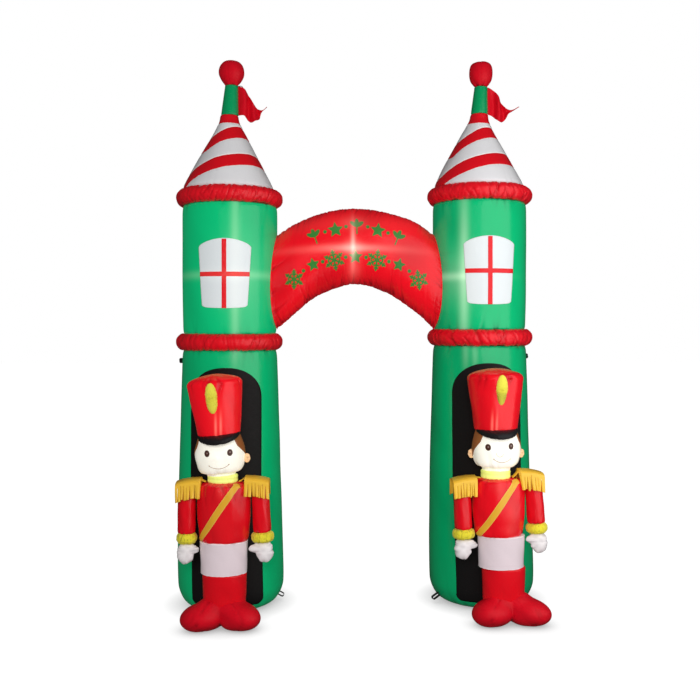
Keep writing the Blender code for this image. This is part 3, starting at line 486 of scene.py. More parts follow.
redDye = (0.76, 0.004, 0.012)
plush = {"gloss": 0.2, "stretch": (1.0, 1.0, 1.0), "sheen": 0.2, "tip": 0.1}
styles = {
    "greenNylon": {"colour": (0.002, 0.42, 0.15), "roughness": 0.16, "tip": 0.06, "bump": 0.0003},
    # Painted shade: a darker copy of the green nylon for the mast, which gets less light.
    "mastNylon": {"colour": (0.0015, 0.32, 0.105), "roughness": 0.22, "bump": 0.0008, "groove": 0.0},
    "redNylon": {"colour": redDye, "lamp": (1.0, 0.4, 0.3), "groove": 0.3},
    "redSatin": {
        "colour": (0.78, 0.005, 0.015), "roughness": 0.34, "bump": 0.0012, "crinkle": 55.0, "groove": 0.22,
    },
    "redMatt": {"colour": (0.66, 0.003, 0.014), "roughness": 0.46, "gloss": 0.22, "groove": 0.3},
    "stripedNylon": {
        "colour": (0.78, 0.775, 0.785), "speckle": 0.24, "shade": (0.8, 0.79, 0.82), "gloss": 0.4,
        "groove": 0.25, "prints": [
            ("stripe", (0.95, 0.93, 0.9), -0.0055, -0.0045),
            ("stripe", (0.72, 0.006, 0.014), -0.0012, 0.0012),
        ],
    },
    "windowNylon": {"colour": (0.74, 0.79, 0.8), "speckle": 0.18},
    "blackNylon": {"colour": (0.01, 0.009, 0.009), "roughness": 0.6, "gloss": 0.25, "speckle": 0.3},
    "blackSatin": {"colour": (0.012, 0.011, 0.012), "roughness": 0.42, "gloss": 0.22, "bump": 0.002},
    "goldSatin": {
        "colour": (0.92, 0.55, 0.045), "roughness": 0.32, "gloss": 0.6, "stretch": (6.0, 6.0, 1.0),
        "crinkle": 30.0, "shade": (0.72, 0.62, 0.45), "speckle": 0.3,
    },
    "yellowPlush": {
        **plush, "colour": (0.92, 0.82, 0.055), "roughness": 0.75, "crinkle": 150.0, "bump": 0.004,
        "shade": (0.7, 0.64, 0.3), "speckle": 0.5,
    },
    "plumePlush": {
        **plush, "colour": (0.84, 0.77, 0.085), "roughness": 0.7, "crinkle": 90.0, "bump": 0.002,
        "shade": (0.74, 0.7, 0.4), "speckle": 0.4,
    },
    "limeNylon": {"colour": (0.8, 0.9, 0.22), "shade": (0.86, 0.84, 0.6), "groove": 0.35},
    "webbingCloth": {
        "colour": (0.016, 0.015, 0.015), "threads": 500.0, "tip": 0.6, "roughness": 0.55, "gloss": 0.4,
    },
    "skinNylon": {"colour": (0.9, 0.56, 0.3), "shade": (0.9, 0.8, 0.7)},
    "printedNylon": {
        "colour": redDye, "lamp": (1.0, 0.66, 0.55), "groove": 0.42,
        "prints": [("print", (0.03, 0.19, 0.03), -0.0012, 0.0012)],
    },
    "trouserNylon": {
        "colour": (0.74, 0.63, 0.66), "speckle": 0.25, "shade": (0.82, 0.78, 0.82), "gloss": 0.4,
        "groove": 0.25, "prints": [("edge", (0.9, 0.84, 0.86), -0.0012, 0.0012)],
    },
    "gloveNylon": {
        "colour": (0.78, 0.74, 0.74), "speckle": 0.3, "shade": (0.82, 0.76, 0.78), "gloss": 0.35,
        "groove": 0.35,
    },
    "sashSatin": {
        "colour": (0.78, 0.42, 0.03), "roughness": 0.36, "shade": (0.8, 0.72, 0.6),
        "prints": [("edge", (0.86, 0.55, 0.1), -0.0012, 0.0012)],
    },
    "faceNylon": {  # brown hair, a thin drawn smile, and brown eyes with a light dot
        "colour": (0.93, 0.9, 0.8), "veil": 0.0, "speckle": 0.12, "shade": (0.93, 0.88, 0.8), "gloss": 0.35,
        "groove": 0.25, "prints": [
            ("hair", (0.23, 0.075, 0.022), -0.0012, 0.0012), ("smile", (0.4, 0.3, 0.24), -0.001, 0.001),
            ("eye", (0.055, 0.022, 0.016), -0.0014, 0.0014), ("glint", (0.24, 0.17, 0.15), -0.002, 0.002),
        ],
    },
}
cloths = {name: clothMaterial(name, **style) for name, style in styles.items()}
print("materials made")


# Folds are their count, depth, width, reach and slant.
towerFoot = {
    "wall": [
        (0.18, 0.0), (0.214, 0.004), (0.258, 0.03), (0.286, 0.082), (0.2935, 0.14), (0.2925, 0.3),
        (0.286, 0.58), (0.2745, 1.0), (0.266, 1.28), (0.2625, 1.375), (0.256, 1.4097),
    ],
    "follow": (0, 0, 0, 0, 0, 0, 0, 0.5, 0.8, 1, 1), "ringAt": 1.459, "leanAt": (0.1, 0.75),
    "footSeam": 0.075, "footFolds": (34, 0.003, 0.009, 0.045, 0.3),
    "topFolds": (56, 0.0022, 0.006, 0.03, 0.25),
}


def buildTowerFoot(side, row):
    # The upper points follow the low ring's height, and the foot leans out sideways.
    t, seed = towerFoot, row["seed"]
    raised = (row["lowRing"] - t["ringAt"]) * np.array(t["follow"])
    points = np.array(t["wall"]) + np.stack([0 * raised, raised], axis=1)

    def relief(theta, s, total):
        top = puckers(theta, total - s, 0.26, t["topFolds"], seed)
        foot = puckers(theta, np.abs(s - t["footSeam"]), 0.27, t["footFolds"], seed + 1)
        return top + (foot + swell(theta, s, seed + 2, 0.001)) * np.clip(s / 0.06, 0, 1)

    lean = (t["leanAt"], (row["lean"], 0.0))
    wall = makeWall(points, (row["x"] + row["shift"], towerAxisY, 0), relief, lean=lean)
    sewTube(f"{side}_tower_base_cloth", wall, 208, 130, "greenNylon")
    return wall


ringBand = {
    "wall": [
        (0.24, -0.046), (0.252, -0.048), (0.266, -0.0485), (0.282, -0.038), (0.2935, -0.02), (0.2965, -0.002),
        (0.2935, 0.015), (0.282, 0.031), (0.267, 0.042), (0.254, 0.043), (0.24, 0.044),
    ],
    "folds": (110, 0.0074, 0.0056, 0.03, 0.35), "crumple": 0.0034, "scale": 0.05,
}


def buildRing(side, row, which):
    # A puffed band: puckers at both its seams and crumpled satin between them.
    seed = row["seed"] * 3 + (5 if which == "low" else 9)

    def relief(theta, s, total):
        folds = endPuckers(theta, s, total, 0.27, ringBand["folds"], seed)
        folds = folds + crumple(theta, s, 0.28, seed + 2, ringBand["crumple"], ringBand["scale"])
        return np.clip(np.minimum(s, total - s) / 0.014, 0, 1) * folds

    points = [(r, z + row[which + "Ring"]) for r, z in ringBand["wall"]]
    wall = makeWall(points, (row["x"], towerAxisY, 0), relief)
    sewTube(f"{side}_ring_{which}_cloth", wall, 580, 40, "redSatin")


drumCloth = {
    "folds": (44, 0.0022, 0.006, 0.026, 0.3), "archFolds": (26, 0.0016, 0.006, 0.04, 0.7), "radius": 0.266,
    "archAt": 66, "archMiddle": 0.42, "archHalf": 0.3,
}


def buildDrum(side, row):
    # Puckers at both ends, and more round the seam where the arch is sewn on.
    d, sign = drumCloth, -row["sign"]
    low, high = row["lowRing"] + ringHalf - 0.007, row["topRing"] - ringHalf
    middle = (low + high) / 2
    points = [
        (0.253, low), (0.2575, low + 0.016), (0.2595, low + 0.06), (0.262, middle - 0.15), (0.2635, middle),
        (0.2635, middle + 0.15), (0.2635, high - 0.06), (0.2615, high - 0.016), (0.256, high),
    ]
    seed = row["seed"] * 5

    def relief(theta, s, total):
        away = np.clip((math.radians(d["archAt"]) * sign - theta) * sign, 0, None) * d["radius"]
        joined = np.clip(1 - np.abs(s - total * d["archMiddle"]) / d["archHalf"], 0, 1) ** 0.5
        out = endPuckers(theta, s, total, d["radius"], d["folds"], seed)
        out = out + joined * seamFolds(s, away, 0.8, d["archFolds"], seed + 2)
        return out + swell(theta, s, seed + 3, 0.001)

    wall = makeWall(points, (row["x"] + row["shift"], towerAxisY, 0), relief)
    sewTube(f"{side}_drum_cloth", wall, 260, 90, "greenNylon")
    return wall


# The two stripes' edges over the eaves, by angle from the front; the back panel mirrors them.
stripes = {
    "left": {
        "angle": (-90, -75, -60, -51, -39, -21, 0, 24, 45, 66, 90), "band": 0.3665,
        "edges": (
            ((-0.02, -0.012, 0.003, 0.029, 0.053, 0.078, 0.098, 0.11, 0.115, 0.112, 0.102),
             (0.048, 0.072, 0.097, 0.111, 0.128, 0.152, 0.167, 0.178, 0.182, 0.179, 0.168)),
            ((0.188, 0.19, 0.193, 0.2, 0.221, 0.246, 0.263, 0.274, 0.278, 0.276, 0.266),
             (0.248, 0.27, 0.29, 0.298, 0.308, 0.321, 0.335, 0.343, 0.347, 0.346, 0.335)),
        ),
    },
    "right": {
        "angle": (-90, -75, -65, -51, -34, -15, 6, 24, 45, 66, 90), "band": 0.3565,
        "edges": (
            ((-0.024, -0.02, -0.012, 0.018, 0.048, 0.076, 0.096, 0.104, 0.106, 0.103, 0.094),
             (0.038, 0.047, 0.07, 0.099, 0.126, 0.147, 0.163, 0.171, 0.174, 0.172, 0.16)),
            ((0.162, 0.156, 0.158, 0.194, 0.222, 0.243, 0.258, 0.265, 0.267, 0.264, 0.252),
             (0.242, 0.252, 0.259, 0.276, 0.294, 0.313, 0.326, 0.33, 0.331, 0.329, 0.318)),
        ),
    },
}
roofCloth = {
    "wall": [
        (0.244, -0.008), (0.249, 0.002), (0.248, 0.012), (0.2405, 0.03), (0.2235, 0.064), (0.183, 0.142),
        (0.1335, 0.232), (0.084, 0.322), (0.0665, 0.358), (0.058, 0.376), (0.0555, 0.3835), (0.0535, 0.392),
        (0.0505, 0.41), (0.048, 0.4155),
    ],
    "bowAt": (0.0, 0.1, 0.2, 0.3, 0.37, 0.42),
    "footFolds": (40, 0.0022, 0.006, 0.022, 0.3), "stripeFolds": (120, 0.0006, 0.018, 0.012, 0.5),
}


def buildRoof(side, row):
    # A cone of two panels with the stripes sewn in: each edge has a groove exp(-(distance / 0.0045)^2).
    eaves = row["topRing"] + ringHalf
    stripe = stripes[side]
    seed = row["seed"] * 7

    def inStripe(theta, s):
        # Signed distance to a stripe's nearest edge, in metres of height; above nought it is red.
        z = np.interp(s, wall["s"], wall["z"]) - eaves
        angle = np.degrees(theta)
        angle = np.where(np.abs(angle) > 90, np.sign(angle) * 180 - angle, angle)
        inside = z - stripe["band"]
        for low, high in stripe["edges"]:
            over, under = (np.interp(angle, stripe["angle"], edge) for edge in (low, high))
            inside = np.maximum(inside, np.minimum(z - over, under - z))
        return inside

    def relief(theta, s, total):
        edge = np.abs(inStripe(theta, s))
        out = puckers(theta, s, 0.25, roofCloth["footFolds"], seed) - 0.0014 * np.exp(-(edge / 0.0045) ** 2)
        out = out + puckers(theta, edge, 1, roofCloth["stripeFolds"], seed + 1)
        return out + swell(theta, s, seed + 2, 0.001) * np.clip(s / 0.1, 0, 1)

    points = [(r, z + eaves) for r, z in roofCloth["wall"]]
    bow = (np.array(roofCloth["bowAt"]) + eaves, row["roofBow"])
    wall = makeWall(points, (row["x"], towerAxisY, 0), relief, lean=bow)
    sewTube(f"{side}_roof_cloth", wall, 250, 150, "stripedNylon", {"stripe": inStripe})


mastFolds = (15, 0.0022, 0.0045, 0.02, 0.3)
ballCloth = {
    "round": [
        (0.035, 0.0005), (0.0405, 0.008), (0.05, 0.02), (0.06, 0.035), (0.069, 0.056), (0.071, 0.074),
        (0.069, 0.094), (0.0605, 0.115), (0.044, 0.131), (0.022, 0.139), (0.008, 0.1405),
    ],
    "square": [
        (0.035, 0.0005), (0.041, 0.007), (0.05, 0.018), (0.06, 0.034), (0.0655, 0.056), (0.0665, 0.078),
        (0.064, 0.102), (0.057, 0.121), (0.043, 0.134), (0.022, 0.1385), (0.008, 0.139),
    ],
    "folds": (22, 0.003, 0.004, 0.018, 0.3),
}


def buildMastAndBall(side, row, foot):
    # The mast leans evenly to its top; the ball has four gore seams exp(-(sin / 0.1)^2).
    high, seed = row["mastTop"], row["seed"] * 13
    rise = high - foot
    points = [
        (0.044, 0.0005), (0.0478, 0.004), (0.0478, 0.02), (0.042, rise * 0.55), (0.0375, rise - 0.014),
        (0.0372, rise - 0.004), (0.032, rise - 0.0005),
    ]

    def mastRelief(theta, s, total):
        return endPuckers(theta, s, total, 0.043, mastFolds, seed)

    def ballRelief(theta, s, total):
        gores = -0.0012 * np.exp(-((np.sin(theta * 2.0 + 0.4)) / 0.1) ** 2) * np.clip(s / 0.03, 0, 1)
        folds = puckers(theta, s, 0.045, ballCloth["folds"], seed + 2)
        return folds + gores + swell(theta, s * 4, seed + 3, 0.001)

    mast = makeWall(points, (row["x"], towerAxisY, foot), mastRelief, lean=((0, rise), (0, row["mastLean"])))
    sewTube(f"{side}_mast_cloth", mast, 96, 60, "mastNylon")
    ball = makeWall(ballCloth[row["ball"]], (row["x"] + row["mastLean"], towerAxisY, high), ballRelief)
    sewTube(f"{side}_ball_cloth", ball, 128, 72, "redMatt")


# Pennants: upper edge and lower edge from the mast to the tip, x from the mast and z over its foot.
pennants = {
    "left": {
        "up": (
            (0.0465, 0.15), (0.06, 0.148), (0.083, 0.134), (0.0985, 0.108), (0.113, 0.083), (0.131, 0.052),
            (0.149, 0.028), (0.168, 0.019), (0.183, 0.021), (0.201, 0.036),
        ),
        "low": (
            (0.0485, -0.013), (0.07, -0.014), (0.084, -0.02), (0.1, -0.04), (0.12, -0.051), (0.141, -0.045),
            (0.158, -0.034), (0.1655, -0.008), (0.174, 0.008), (0.2015, 0.034),
        ),
        "sway": (0.0, -0.016, 0.01, -0.014, 0.012, -0.004, -0.01), "rise": 0.0165,
    },
    "right": {
        "up": (
            (0.0465, 0.146), (0.06, 0.143), (0.086, 0.126), (0.108, 0.094), (0.124, 0.06), (0.148, 0.026),
            (0.172, 0.018), (0.194, 0.024), (0.218, 0.038),
        ),
        "low": (
            (0.0485, -0.01), (0.068, -0.012), (0.082, -0.02), (0.101, -0.044), (0.123, -0.052),
            (0.146, -0.036), (0.158, -0.01), (0.18, 0.01), (0.219, 0.034),
        ),
        "sway": (0.0, 0.015, -0.012, 0.013, -0.01, 0.006, -0.008), "rise": 0.0115,
    },
    "longer": 1.045, "flat": (0.17, 0.28), "area": 0.021, "thick": 0.0016, "columns": 110, "rows": 36,
}


def buildPennant(side, row, foot):
    # Straight lines between the two edges, folded sideways by the sway and by fine waves growing to the tip.
    p, spec, columns = pennants, pennants[side], pennants["columns"]
    up, low = smoothPath(spec["up"], columns), smoothPath(spec["low"], columns)
    sway = smoothPath(list(enumerate(spec["sway"])), columns)[:, 1]
    part = np.linspace(0, 1, p["rows"])[:, None]
    along = np.linspace(0, 1, columns)[None, :]
    flat = low[None] + (up - low)[None] * part[..., None]
    waves = 0.0055 * np.sin(5 * part + 13 * along + row["seed"]) + 0.0026 * np.sin(11 * part - 17 * along + 2)
    y = sway[None] * (1.3 - 0.6 * part) + along**0.5 * waves
    root = spec["up"][0][0]
    x = root + (flat[..., 0] - root) * p["longer"]
    points = np.stack([row["x"] + x, towerAxisY + y, foot + spec["rise"] + flat[..., 1]], axis=-1)
    uv = np.stack([along + 0 * part, 0.15 * part + 0 * along], axis=-1) * np.array([0.27, 1.0])
    piece = openSheet(f"{side}_flag_cloth", points, uv, p["thick"])
    declare(piece, "redMatt")


# Doorway and window, sewn flat on their tube: half widths at heights.
doorPanel = {"half": 0.188, "sill": 0.05, "spring": 1.15, "crown": 1.32, "power": 2.3, "thick": 0.0012}
windowPanel = {
    "halfLow": 0.121, "halfHigh": 0.14, "sill": 0.186, "head": 0.517, "crown": 0.553, "bow": 0.006,
    "thick": 0.0012,
}
windowBars = {"half": 0.0122, "reach": 0.131, "thick": 0.0014}


def wallPatch(wall, x, z, lift):
    # The tube's own surface at front-view places x and z.
    s = lengthAt(wall, z)
    axisX = wall["centre"][0] + np.interp(z, *wall["lean"])
    theta = np.arcsin(np.clip((x - axisX) / radiusAt(wall, s), -0.999, 0.999))
    return wallPoints(wall, theta, s, lift)


def buildDoor(side, row, wall):
    # Half width * (1 - over^2.3)^(1/2.3) above the spring line, drawn in a little at the sill.
    d = doorPanel
    spring, crown = d["spring"] + row["doorLift"], d["crown"] + row["doorLift"]
    z = np.concatenate([
        np.linspace(d["sill"], spring, 110)[:-1],
        spring + (crown - spring) * np.sin(np.linspace(0, math.pi / 2, 40)) ** 0.95,
    ])[:, None]
    over = np.clip((z - spring) / (crown - spring), 0, 1)
    half = d["half"] * np.maximum(1 - over ** d["power"], 0.0004) ** (1 / d["power"])
    half = half - 0.026 * np.clip(1 - (z - d["sill"]) / 0.035, 0, 1) ** 2
    across = np.linspace(-1, 1, 60)[None, :]
    x = row["x"] + half * across + row["doorLean"] * np.clip((0.75 - z) / 0.65, 0, 1)
    z = z + 0 * across
    puff = 0.0022 * (1 - np.abs(across) ** 6) * np.clip((z - d["sill"]) / 0.02, 0, 1)
    uv = np.stack([x - row["x"], z], axis=-1)
    piece = openSheet(f"{side}_door_cloth", wallPatch(wall, x, z, 0.001 + puff), uv, d["thick"])
    declare(piece, "blackNylon")


def buildWindow(side, row, wall):
    # A pane between a bowed sill and a bowed head, its corners pulled in, and a cross of two bars over it.
    w, bar, foot = windowPanel, windowBars["half"], row["windowFoot"]
    across, part = np.linspace(-1, 1, 64)[None, :], np.linspace(0, 1, 84)[:, None]
    corner = 0.01 * np.abs(across) ** 14
    head = w["head"] + (w["crown"] - w["head"]) * (1 - across**2) - corner
    sill = w["sill"] - w["bow"] * (1 - across**2) + corner
    z = foot + sill + (head - sill) * part
    x = row["x"] + row["windowShift"] + (w["halfLow"] + (w["halfHigh"] - w["halfLow"]) * part**0.9) * across
    spots, uv = wallPatch(wall, x, z, 0.0014), np.stack([x, z], axis=-1)
    piece = openSheet(f"{side}_window_cloth", spots, uv, w["thick"])
    middleX, middleZ = row["x"] + row["bars"][0], foot + row["bars"][1]
    xs = row["windowShift"] + np.linspace(-windowBars["reach"], windowBars["reach"], 60)
    xs = row["x"] + np.sort(np.concatenate([xs, [row["bars"][0] - bar, row["bars"][0] + bar]]))
    zs = np.linspace(foot + w["sill"] - w["bow"], foot + w["crown"] - 0.004, 80)
    zs = np.sort(np.concatenate([zs, [middleZ - bar, middleZ + bar]]))
    x, z = np.meshgrid(xs, zs)
    cellX, cellZ = (x[:-1, :-1] + x[1:, 1:]) / 2, (z[:-1, :-1] + z[1:, 1:]) / 2
    keep = (np.abs(cellX - middleX) < bar) | (np.abs(cellZ - middleZ) < bar)
    spots, uv = wallPatch(wall, x, z, 0.003), np.stack([x, z], axis=-1)
    cross = openSheet(f"{side}_window_bars", spots, uv, windowBars["thick"], keep)
    declare(piece, "windowNylon")
    declare(cross, "redNylon", node=None)


# Webbing loops: a D of strap, its flat side on the tube.
loops = {
    "side_tab": {"reach": 0.017, "tall": 0.024, "wide": 0.02, "twist": 52},
    "stake_loop": {"reach": 0.034, "tall": 0.022, "wide": 0.02, "twist": 0},
    "mast_tab": {"reach": 0.024, "tall": 0.034, "wide": 0.018, "twist": 12},
}
strapThick = 0.003


def buildLoop(side, kind, at, heading, slope, root):
    # The strap's flat section carried round a D in the x-z plane, then turned to its heading and tipped.
    spec = loops[kind]
    half, far = spec["tall"] / 2 - strapThick / 2, spec["reach"] - strapThick / 2
    turn = np.linspace(math.pi / 2, -math.pi / 2, 28)
    curve = [(far - 0.8 * half * (1 - math.cos(t)), half * math.sin(t)) for t in turn]
    high, low = (-root, half * 0.9), (-root, -half * 0.9)
    path = smoothPath([high, (0.004, half), *curve[::3], curve[-1], (0.004, -half), low], 60)
    path = np.vstack([path[:-1], smoothPath([low, high], 14)[:-1]])
    step = np.roll(path, -1, axis=0) - np.roll(path, 1, axis=0)
    step /= np.linalg.norm(step, axis=1)[:, None]
    section = np.linspace(0, 2 * math.pi, 17)[:-1]
    thick = 0.5 * strapThick * np.sign(np.sin(section)) * np.abs(np.sin(section)) ** 0.5
    wide = 0.5 * spec["wide"] * np.sign(np.cos(section)) * np.abs(np.cos(section)) ** 0.35
    x = path[:, 0, None] - step[:, 1, None] * thick
    z = path[:, 1, None] + step[:, 0, None] * thick
    placed = turnAbout("z", heading) @ turnAbout("y", slope) @ turnAbout("x", spec["twist"])
    points = np.stack([x, np.broadcast_to(wide, x.shape), z], axis=-1) @ placed.T + np.array(at)
    u, v = np.meshgrid(np.linspace(0, 0.04, len(section) + 1), np.linspace(0, 0.09, len(path) + 1))
    piece = closedLoop(f"{side}_{kind}_strap", points, np.stack([u, v], axis=-1))
    declare(piece, "webbingCloth", node=f"{side}_{kind}")


stakeZ = 0.042
for side, row in towers.items():
    footWall = buildTowerFoot(side, row)
    buildRing(side, row, "low")
    drumWall = buildDrum(side, row)
    buildRing(side, row, "top")
    buildRoof(side, row)
    mastFoot = row["topRing"] + ringHalf + roofRise
    buildMastAndBall(side, row, mastFoot)
    buildPennant(side, row, mastFoot)
    buildDoor(side, row, footWall)
    buildWindow(side, row, drumWall)
    reach = np.interp(row["tabZ"], footWall["z"], footWall["r"]) + 0.0005
    at = (row["x"] + row["sign"] * reach, towerAxisY, row["tabZ"])
    buildLoop(side, "side_tab", at, 90 - 90 * row["sign"], 0, 0.003)
    reach = np.interp(stakeZ, footWall["z"], footWall["r"]) + 0.006
    way = math.radians(row["stakeHeading"])
    at = (row["x"] + reach * math.cos(way), towerAxisY + reach * math.sin(way), stakeZ)
    buildLoop(side, "stake_loop", at, row["stakeHeading"], 28, 0.016)
tabAt = (towers["left"]["x"] + 0.05, towerAxisY + 0.03, towers["left"]["mastTop"] - 0.008)
buildLoop("left", "mast_tab", tabAt, 0, 0, 0.006)
print("towers made")

# The arch's two sewn edges, x and height.
archSeams = {
    "top": [
        (-0.47, 2.036), (-0.443, 2.054), (-0.379, 2.096), (-0.314, 2.133), (-0.201, 2.179), (-0.088, 2.203),
        (-0.003, 2.207), (0.082, 2.205), (0.139, 2.196), (0.196, 2.183), (0.253, 2.166), (0.31, 2.146),
        (0.367, 2.118), (0.425, 2.078), (0.47, 2.04),
    ],
    "low": [
        (-0.47, 1.496), (-0.44, 1.526), (-0.398, 1.563), (-0.314, 1.637), (-0.257, 1.682), (-0.201, 1.718),
        (-0.144, 1.743), (-0.088, 1.764), (-0.031, 1.778), (0.026, 1.777), (0.082, 1.766), (0.139, 1.744),
        (0.196, 1.72), (0.253, 1.686), (0.31, 1.645), (0.367, 1.601), (0.425, 1.543), (0.47, 1.494),
    ],
}
archCloth = {
    "depthMiddle": 0.16, "depthEnd": 0.13, "inset": 0.2655, "rows": 330, "columns": 250,
    "topFolds": (170, 0.0078, 0.0032, 0.036, 0.3), "topLong": (60, 0.003, 0.0038, 0.052, 0.2),
    "lowFolds": (160, 0.0076, 0.0032, 0.044, 0.3), "lowLong": (70, 0.0034, 0.0038, 0.06, 0.2),
    "endFolds": (46, 0.005, 0.006, 0.035, 0.25),
}
# Printed motifs on the front: kind, x, z, size and turn in degrees; dots are x, z and size.
archPrint = [
    ("sprig", -0.232, 2.034, 0.046, 20), ("star", -0.118, 2.072, 0.046, 6), ("sprig", 0.0, 2.092, 0.046, 0),
    ("star", 0.116, 2.07, 0.046, -8), ("sprig", 0.226, 2.03, 0.046, -22),
    ("crystal", -0.345, 1.8, 0.052, 0), ("star", -0.24, 1.88, 0.04, 14),
    ("crystal", -0.125, 1.905, 0.055, 12), ("star", -0.008, 1.924, 0.042, 0),
    ("crystal", 0.11, 1.906, 0.055, -6), ("star", 0.232, 1.88, 0.04, -14),
    ("crystal", 0.342, 1.798, 0.052, 8),
] + [("dot", x, z, 0.01, 0) for x, z in (
    (-0.175, 2.06), (-0.06, 2.09), (0.06, 2.09), (0.172, 2.056), (-0.293, 1.846), (-0.188, 1.896),
    (-0.062, 1.921), (0.05, 1.921), (0.176, 1.898), (0.29, 1.846),
)]


def inMotif(kind, x, z, size):
    # Signed distance into a motif, positive inside, from folded copies of one wedge.
    if kind == "dot":
        return size - np.hypot(x, z)
    if kind == "sprig":
        leaf = 0.0035 - np.hypot(x, z - np.clip(z, -0.9 * size, 0))
        for turn in (-52, 0, 52):
            c, s = math.cos(math.radians(turn)), math.sin(math.radians(turn))
            u, v = c * x - s * z, s * x + c * z - 0.48 * size
            inside = 1 - np.hypot(u / (0.24 * size), v / (0.52 * size))
            leaf = np.maximum(leaf, inside * 0.24 * size)
        return leaf
    wedge = math.pi / (5 if kind == "star" else 6)
    angle = np.abs((np.arctan2(x, z) + wedge) % (2 * wedge) - wedge)
    along, aside = np.hypot(x, z) * np.cos(angle), np.hypot(x, z) * np.sin(angle)
    if kind == "star":
        edgeX, edgeZ = 0.46 * size * math.cos(wedge) - size, 0.46 * size * math.sin(wedge)
        return (edgeX * aside + edgeZ * (size - along)) / math.hypot(edgeX, edgeZ)
    arm = 0.0048 - np.hypot(along - np.clip(along, 0, size), aside)
    for start, reach in ((0.42, 0.26), (0.7, 0.2)):
        out = np.clip((along - start * size) * 0.5 + aside * 0.866, 0, reach * size)
        arm = np.maximum(arm, 0.0042 - np.hypot(along - start * size - 0.5 * out, aside - 0.866 * out))
    return arm


def gridNormals(points, toward):
    # Normals of a grid whose columns close on themselves, flipped to point away from toward.
    wrapped = np.concatenate([points[:, -1:], points, points[:, :1]], axis=1)
    normal = np.cross(wrapped[:, 2:] - wrapped[:, :-2], np.gradient(points, axis=0))
    normal /= np.maximum(np.linalg.norm(normal, axis=-1), 1e-12)[..., None]
    return normal * np.sign(((points - toward) * normal).sum(-1))[..., None]


def buildArch():
    # Two panels sewn along a high and a low curve. Round a section, t runs from the low seam (-1) to the high
    # seam (1) and y = -+depth * (1 - |t|^2.2)^0.5; along it, x runs between the two drums' round walls.
    a = archCloth
    along = np.linspace(-1, 1, a["rows"])[:, None]
    angle = np.linspace(0, 2 * np.pi, a["columns"], endpoint=False)[None, :]
    t = -np.cos(angle)
    bulge = np.sqrt(np.maximum(1 - np.abs(t) ** 2.2, 0)) * np.where(angle < np.pi, 1, -1)
    x = (towerAxisX - np.sqrt(a["inset"] ** 2 - (a["depthEnd"] * bulge) ** 2)) * along
    top, low = (np.interp(x, *smoothPath(archSeams[key], 300).T) for key in ("top", "low"))
    depth = a["depthEnd"] + (a["depthMiddle"] - a["depthEnd"]) * (1 - np.abs(along) ** 2)
    z = low + (top - low) * (1 + t) / 2
    points = np.stack([x, towerAxisY - depth * bulge, z], axis=-1)
    normal = gridNormals(points, np.stack([x, towerAxisY + 0 * x, (top + low) / 2], axis=-1))
    spine, girth = lengthAlong(points), lengthAlong(points, 1)
    half = a["columns"] // 2
    fromLow = np.minimum(girth, girth[:, -1:] - girth)
    fromTop = np.abs(girth - girth[:, half:half + 1])
    front = np.broadcast_to(angle < np.pi, fromLow.shape)
    relief = np.zeros(fromLow.shape)
    for key, away, seed in (
        ("topFolds", fromTop, 3), ("topLong", fromTop, 7), ("lowFolds", fromLow, 5), ("lowLong", fromLow, 9),
    ):
        for panel, shift in ((front, 0), (~front, 40)):
            relief += np.where(panel, seamFolds(spine, away, 1.02, a[key], seed + shift), 0)
    relief *= np.clip(np.minimum(fromLow, fromTop) / 0.01, 0, 1) * 0.75 + 0.25
    ends = np.minimum(spine, spine[-1:] - spine)
    for panel, shift in ((along < 0, 0), (along >= 0, 4)):
        relief += np.where(panel, seamFolds(girth, ends, 1.3, a["endFolds"], 60 + shift), 0)
    relief += 0.0015 * np.sin(7 * spine + 3 * angle) * np.sin(angle) + 0.0012 * np.sin(17 * spine - 2 * angle)
    relief *= np.clip(ends / 0.008, 0, 1)
    printed = np.full(x.shape, -0.05)
    for kind, atX, atZ, size, turn in archPrint:
        c, s = math.cos(math.radians(turn)), math.sin(math.radians(turn))
        dx, dz = x - atX, z - atZ
        printed = np.maximum(printed, inMotif(kind, c * dx + s * dz, c * dz - s * dx, size))
    # Besides the print, a mark for the painted shade in the puckers.
    marks = {"print": np.where(front, printed, -0.05), "fold": np.clip(-relief / foldShadeDepth, 0, 1)}
    uv = np.stack([spine, girth], axis=-1)
    uv = np.concatenate([uv, uv[:, -1:] + (0, 0.005)], axis=1)
    piece = closedTube("arch_cloth", points + normal * relief[..., None], uv, marks)
    declare(piece, "printedNylon", "arch_tube")


buildArch()
print("arch made")


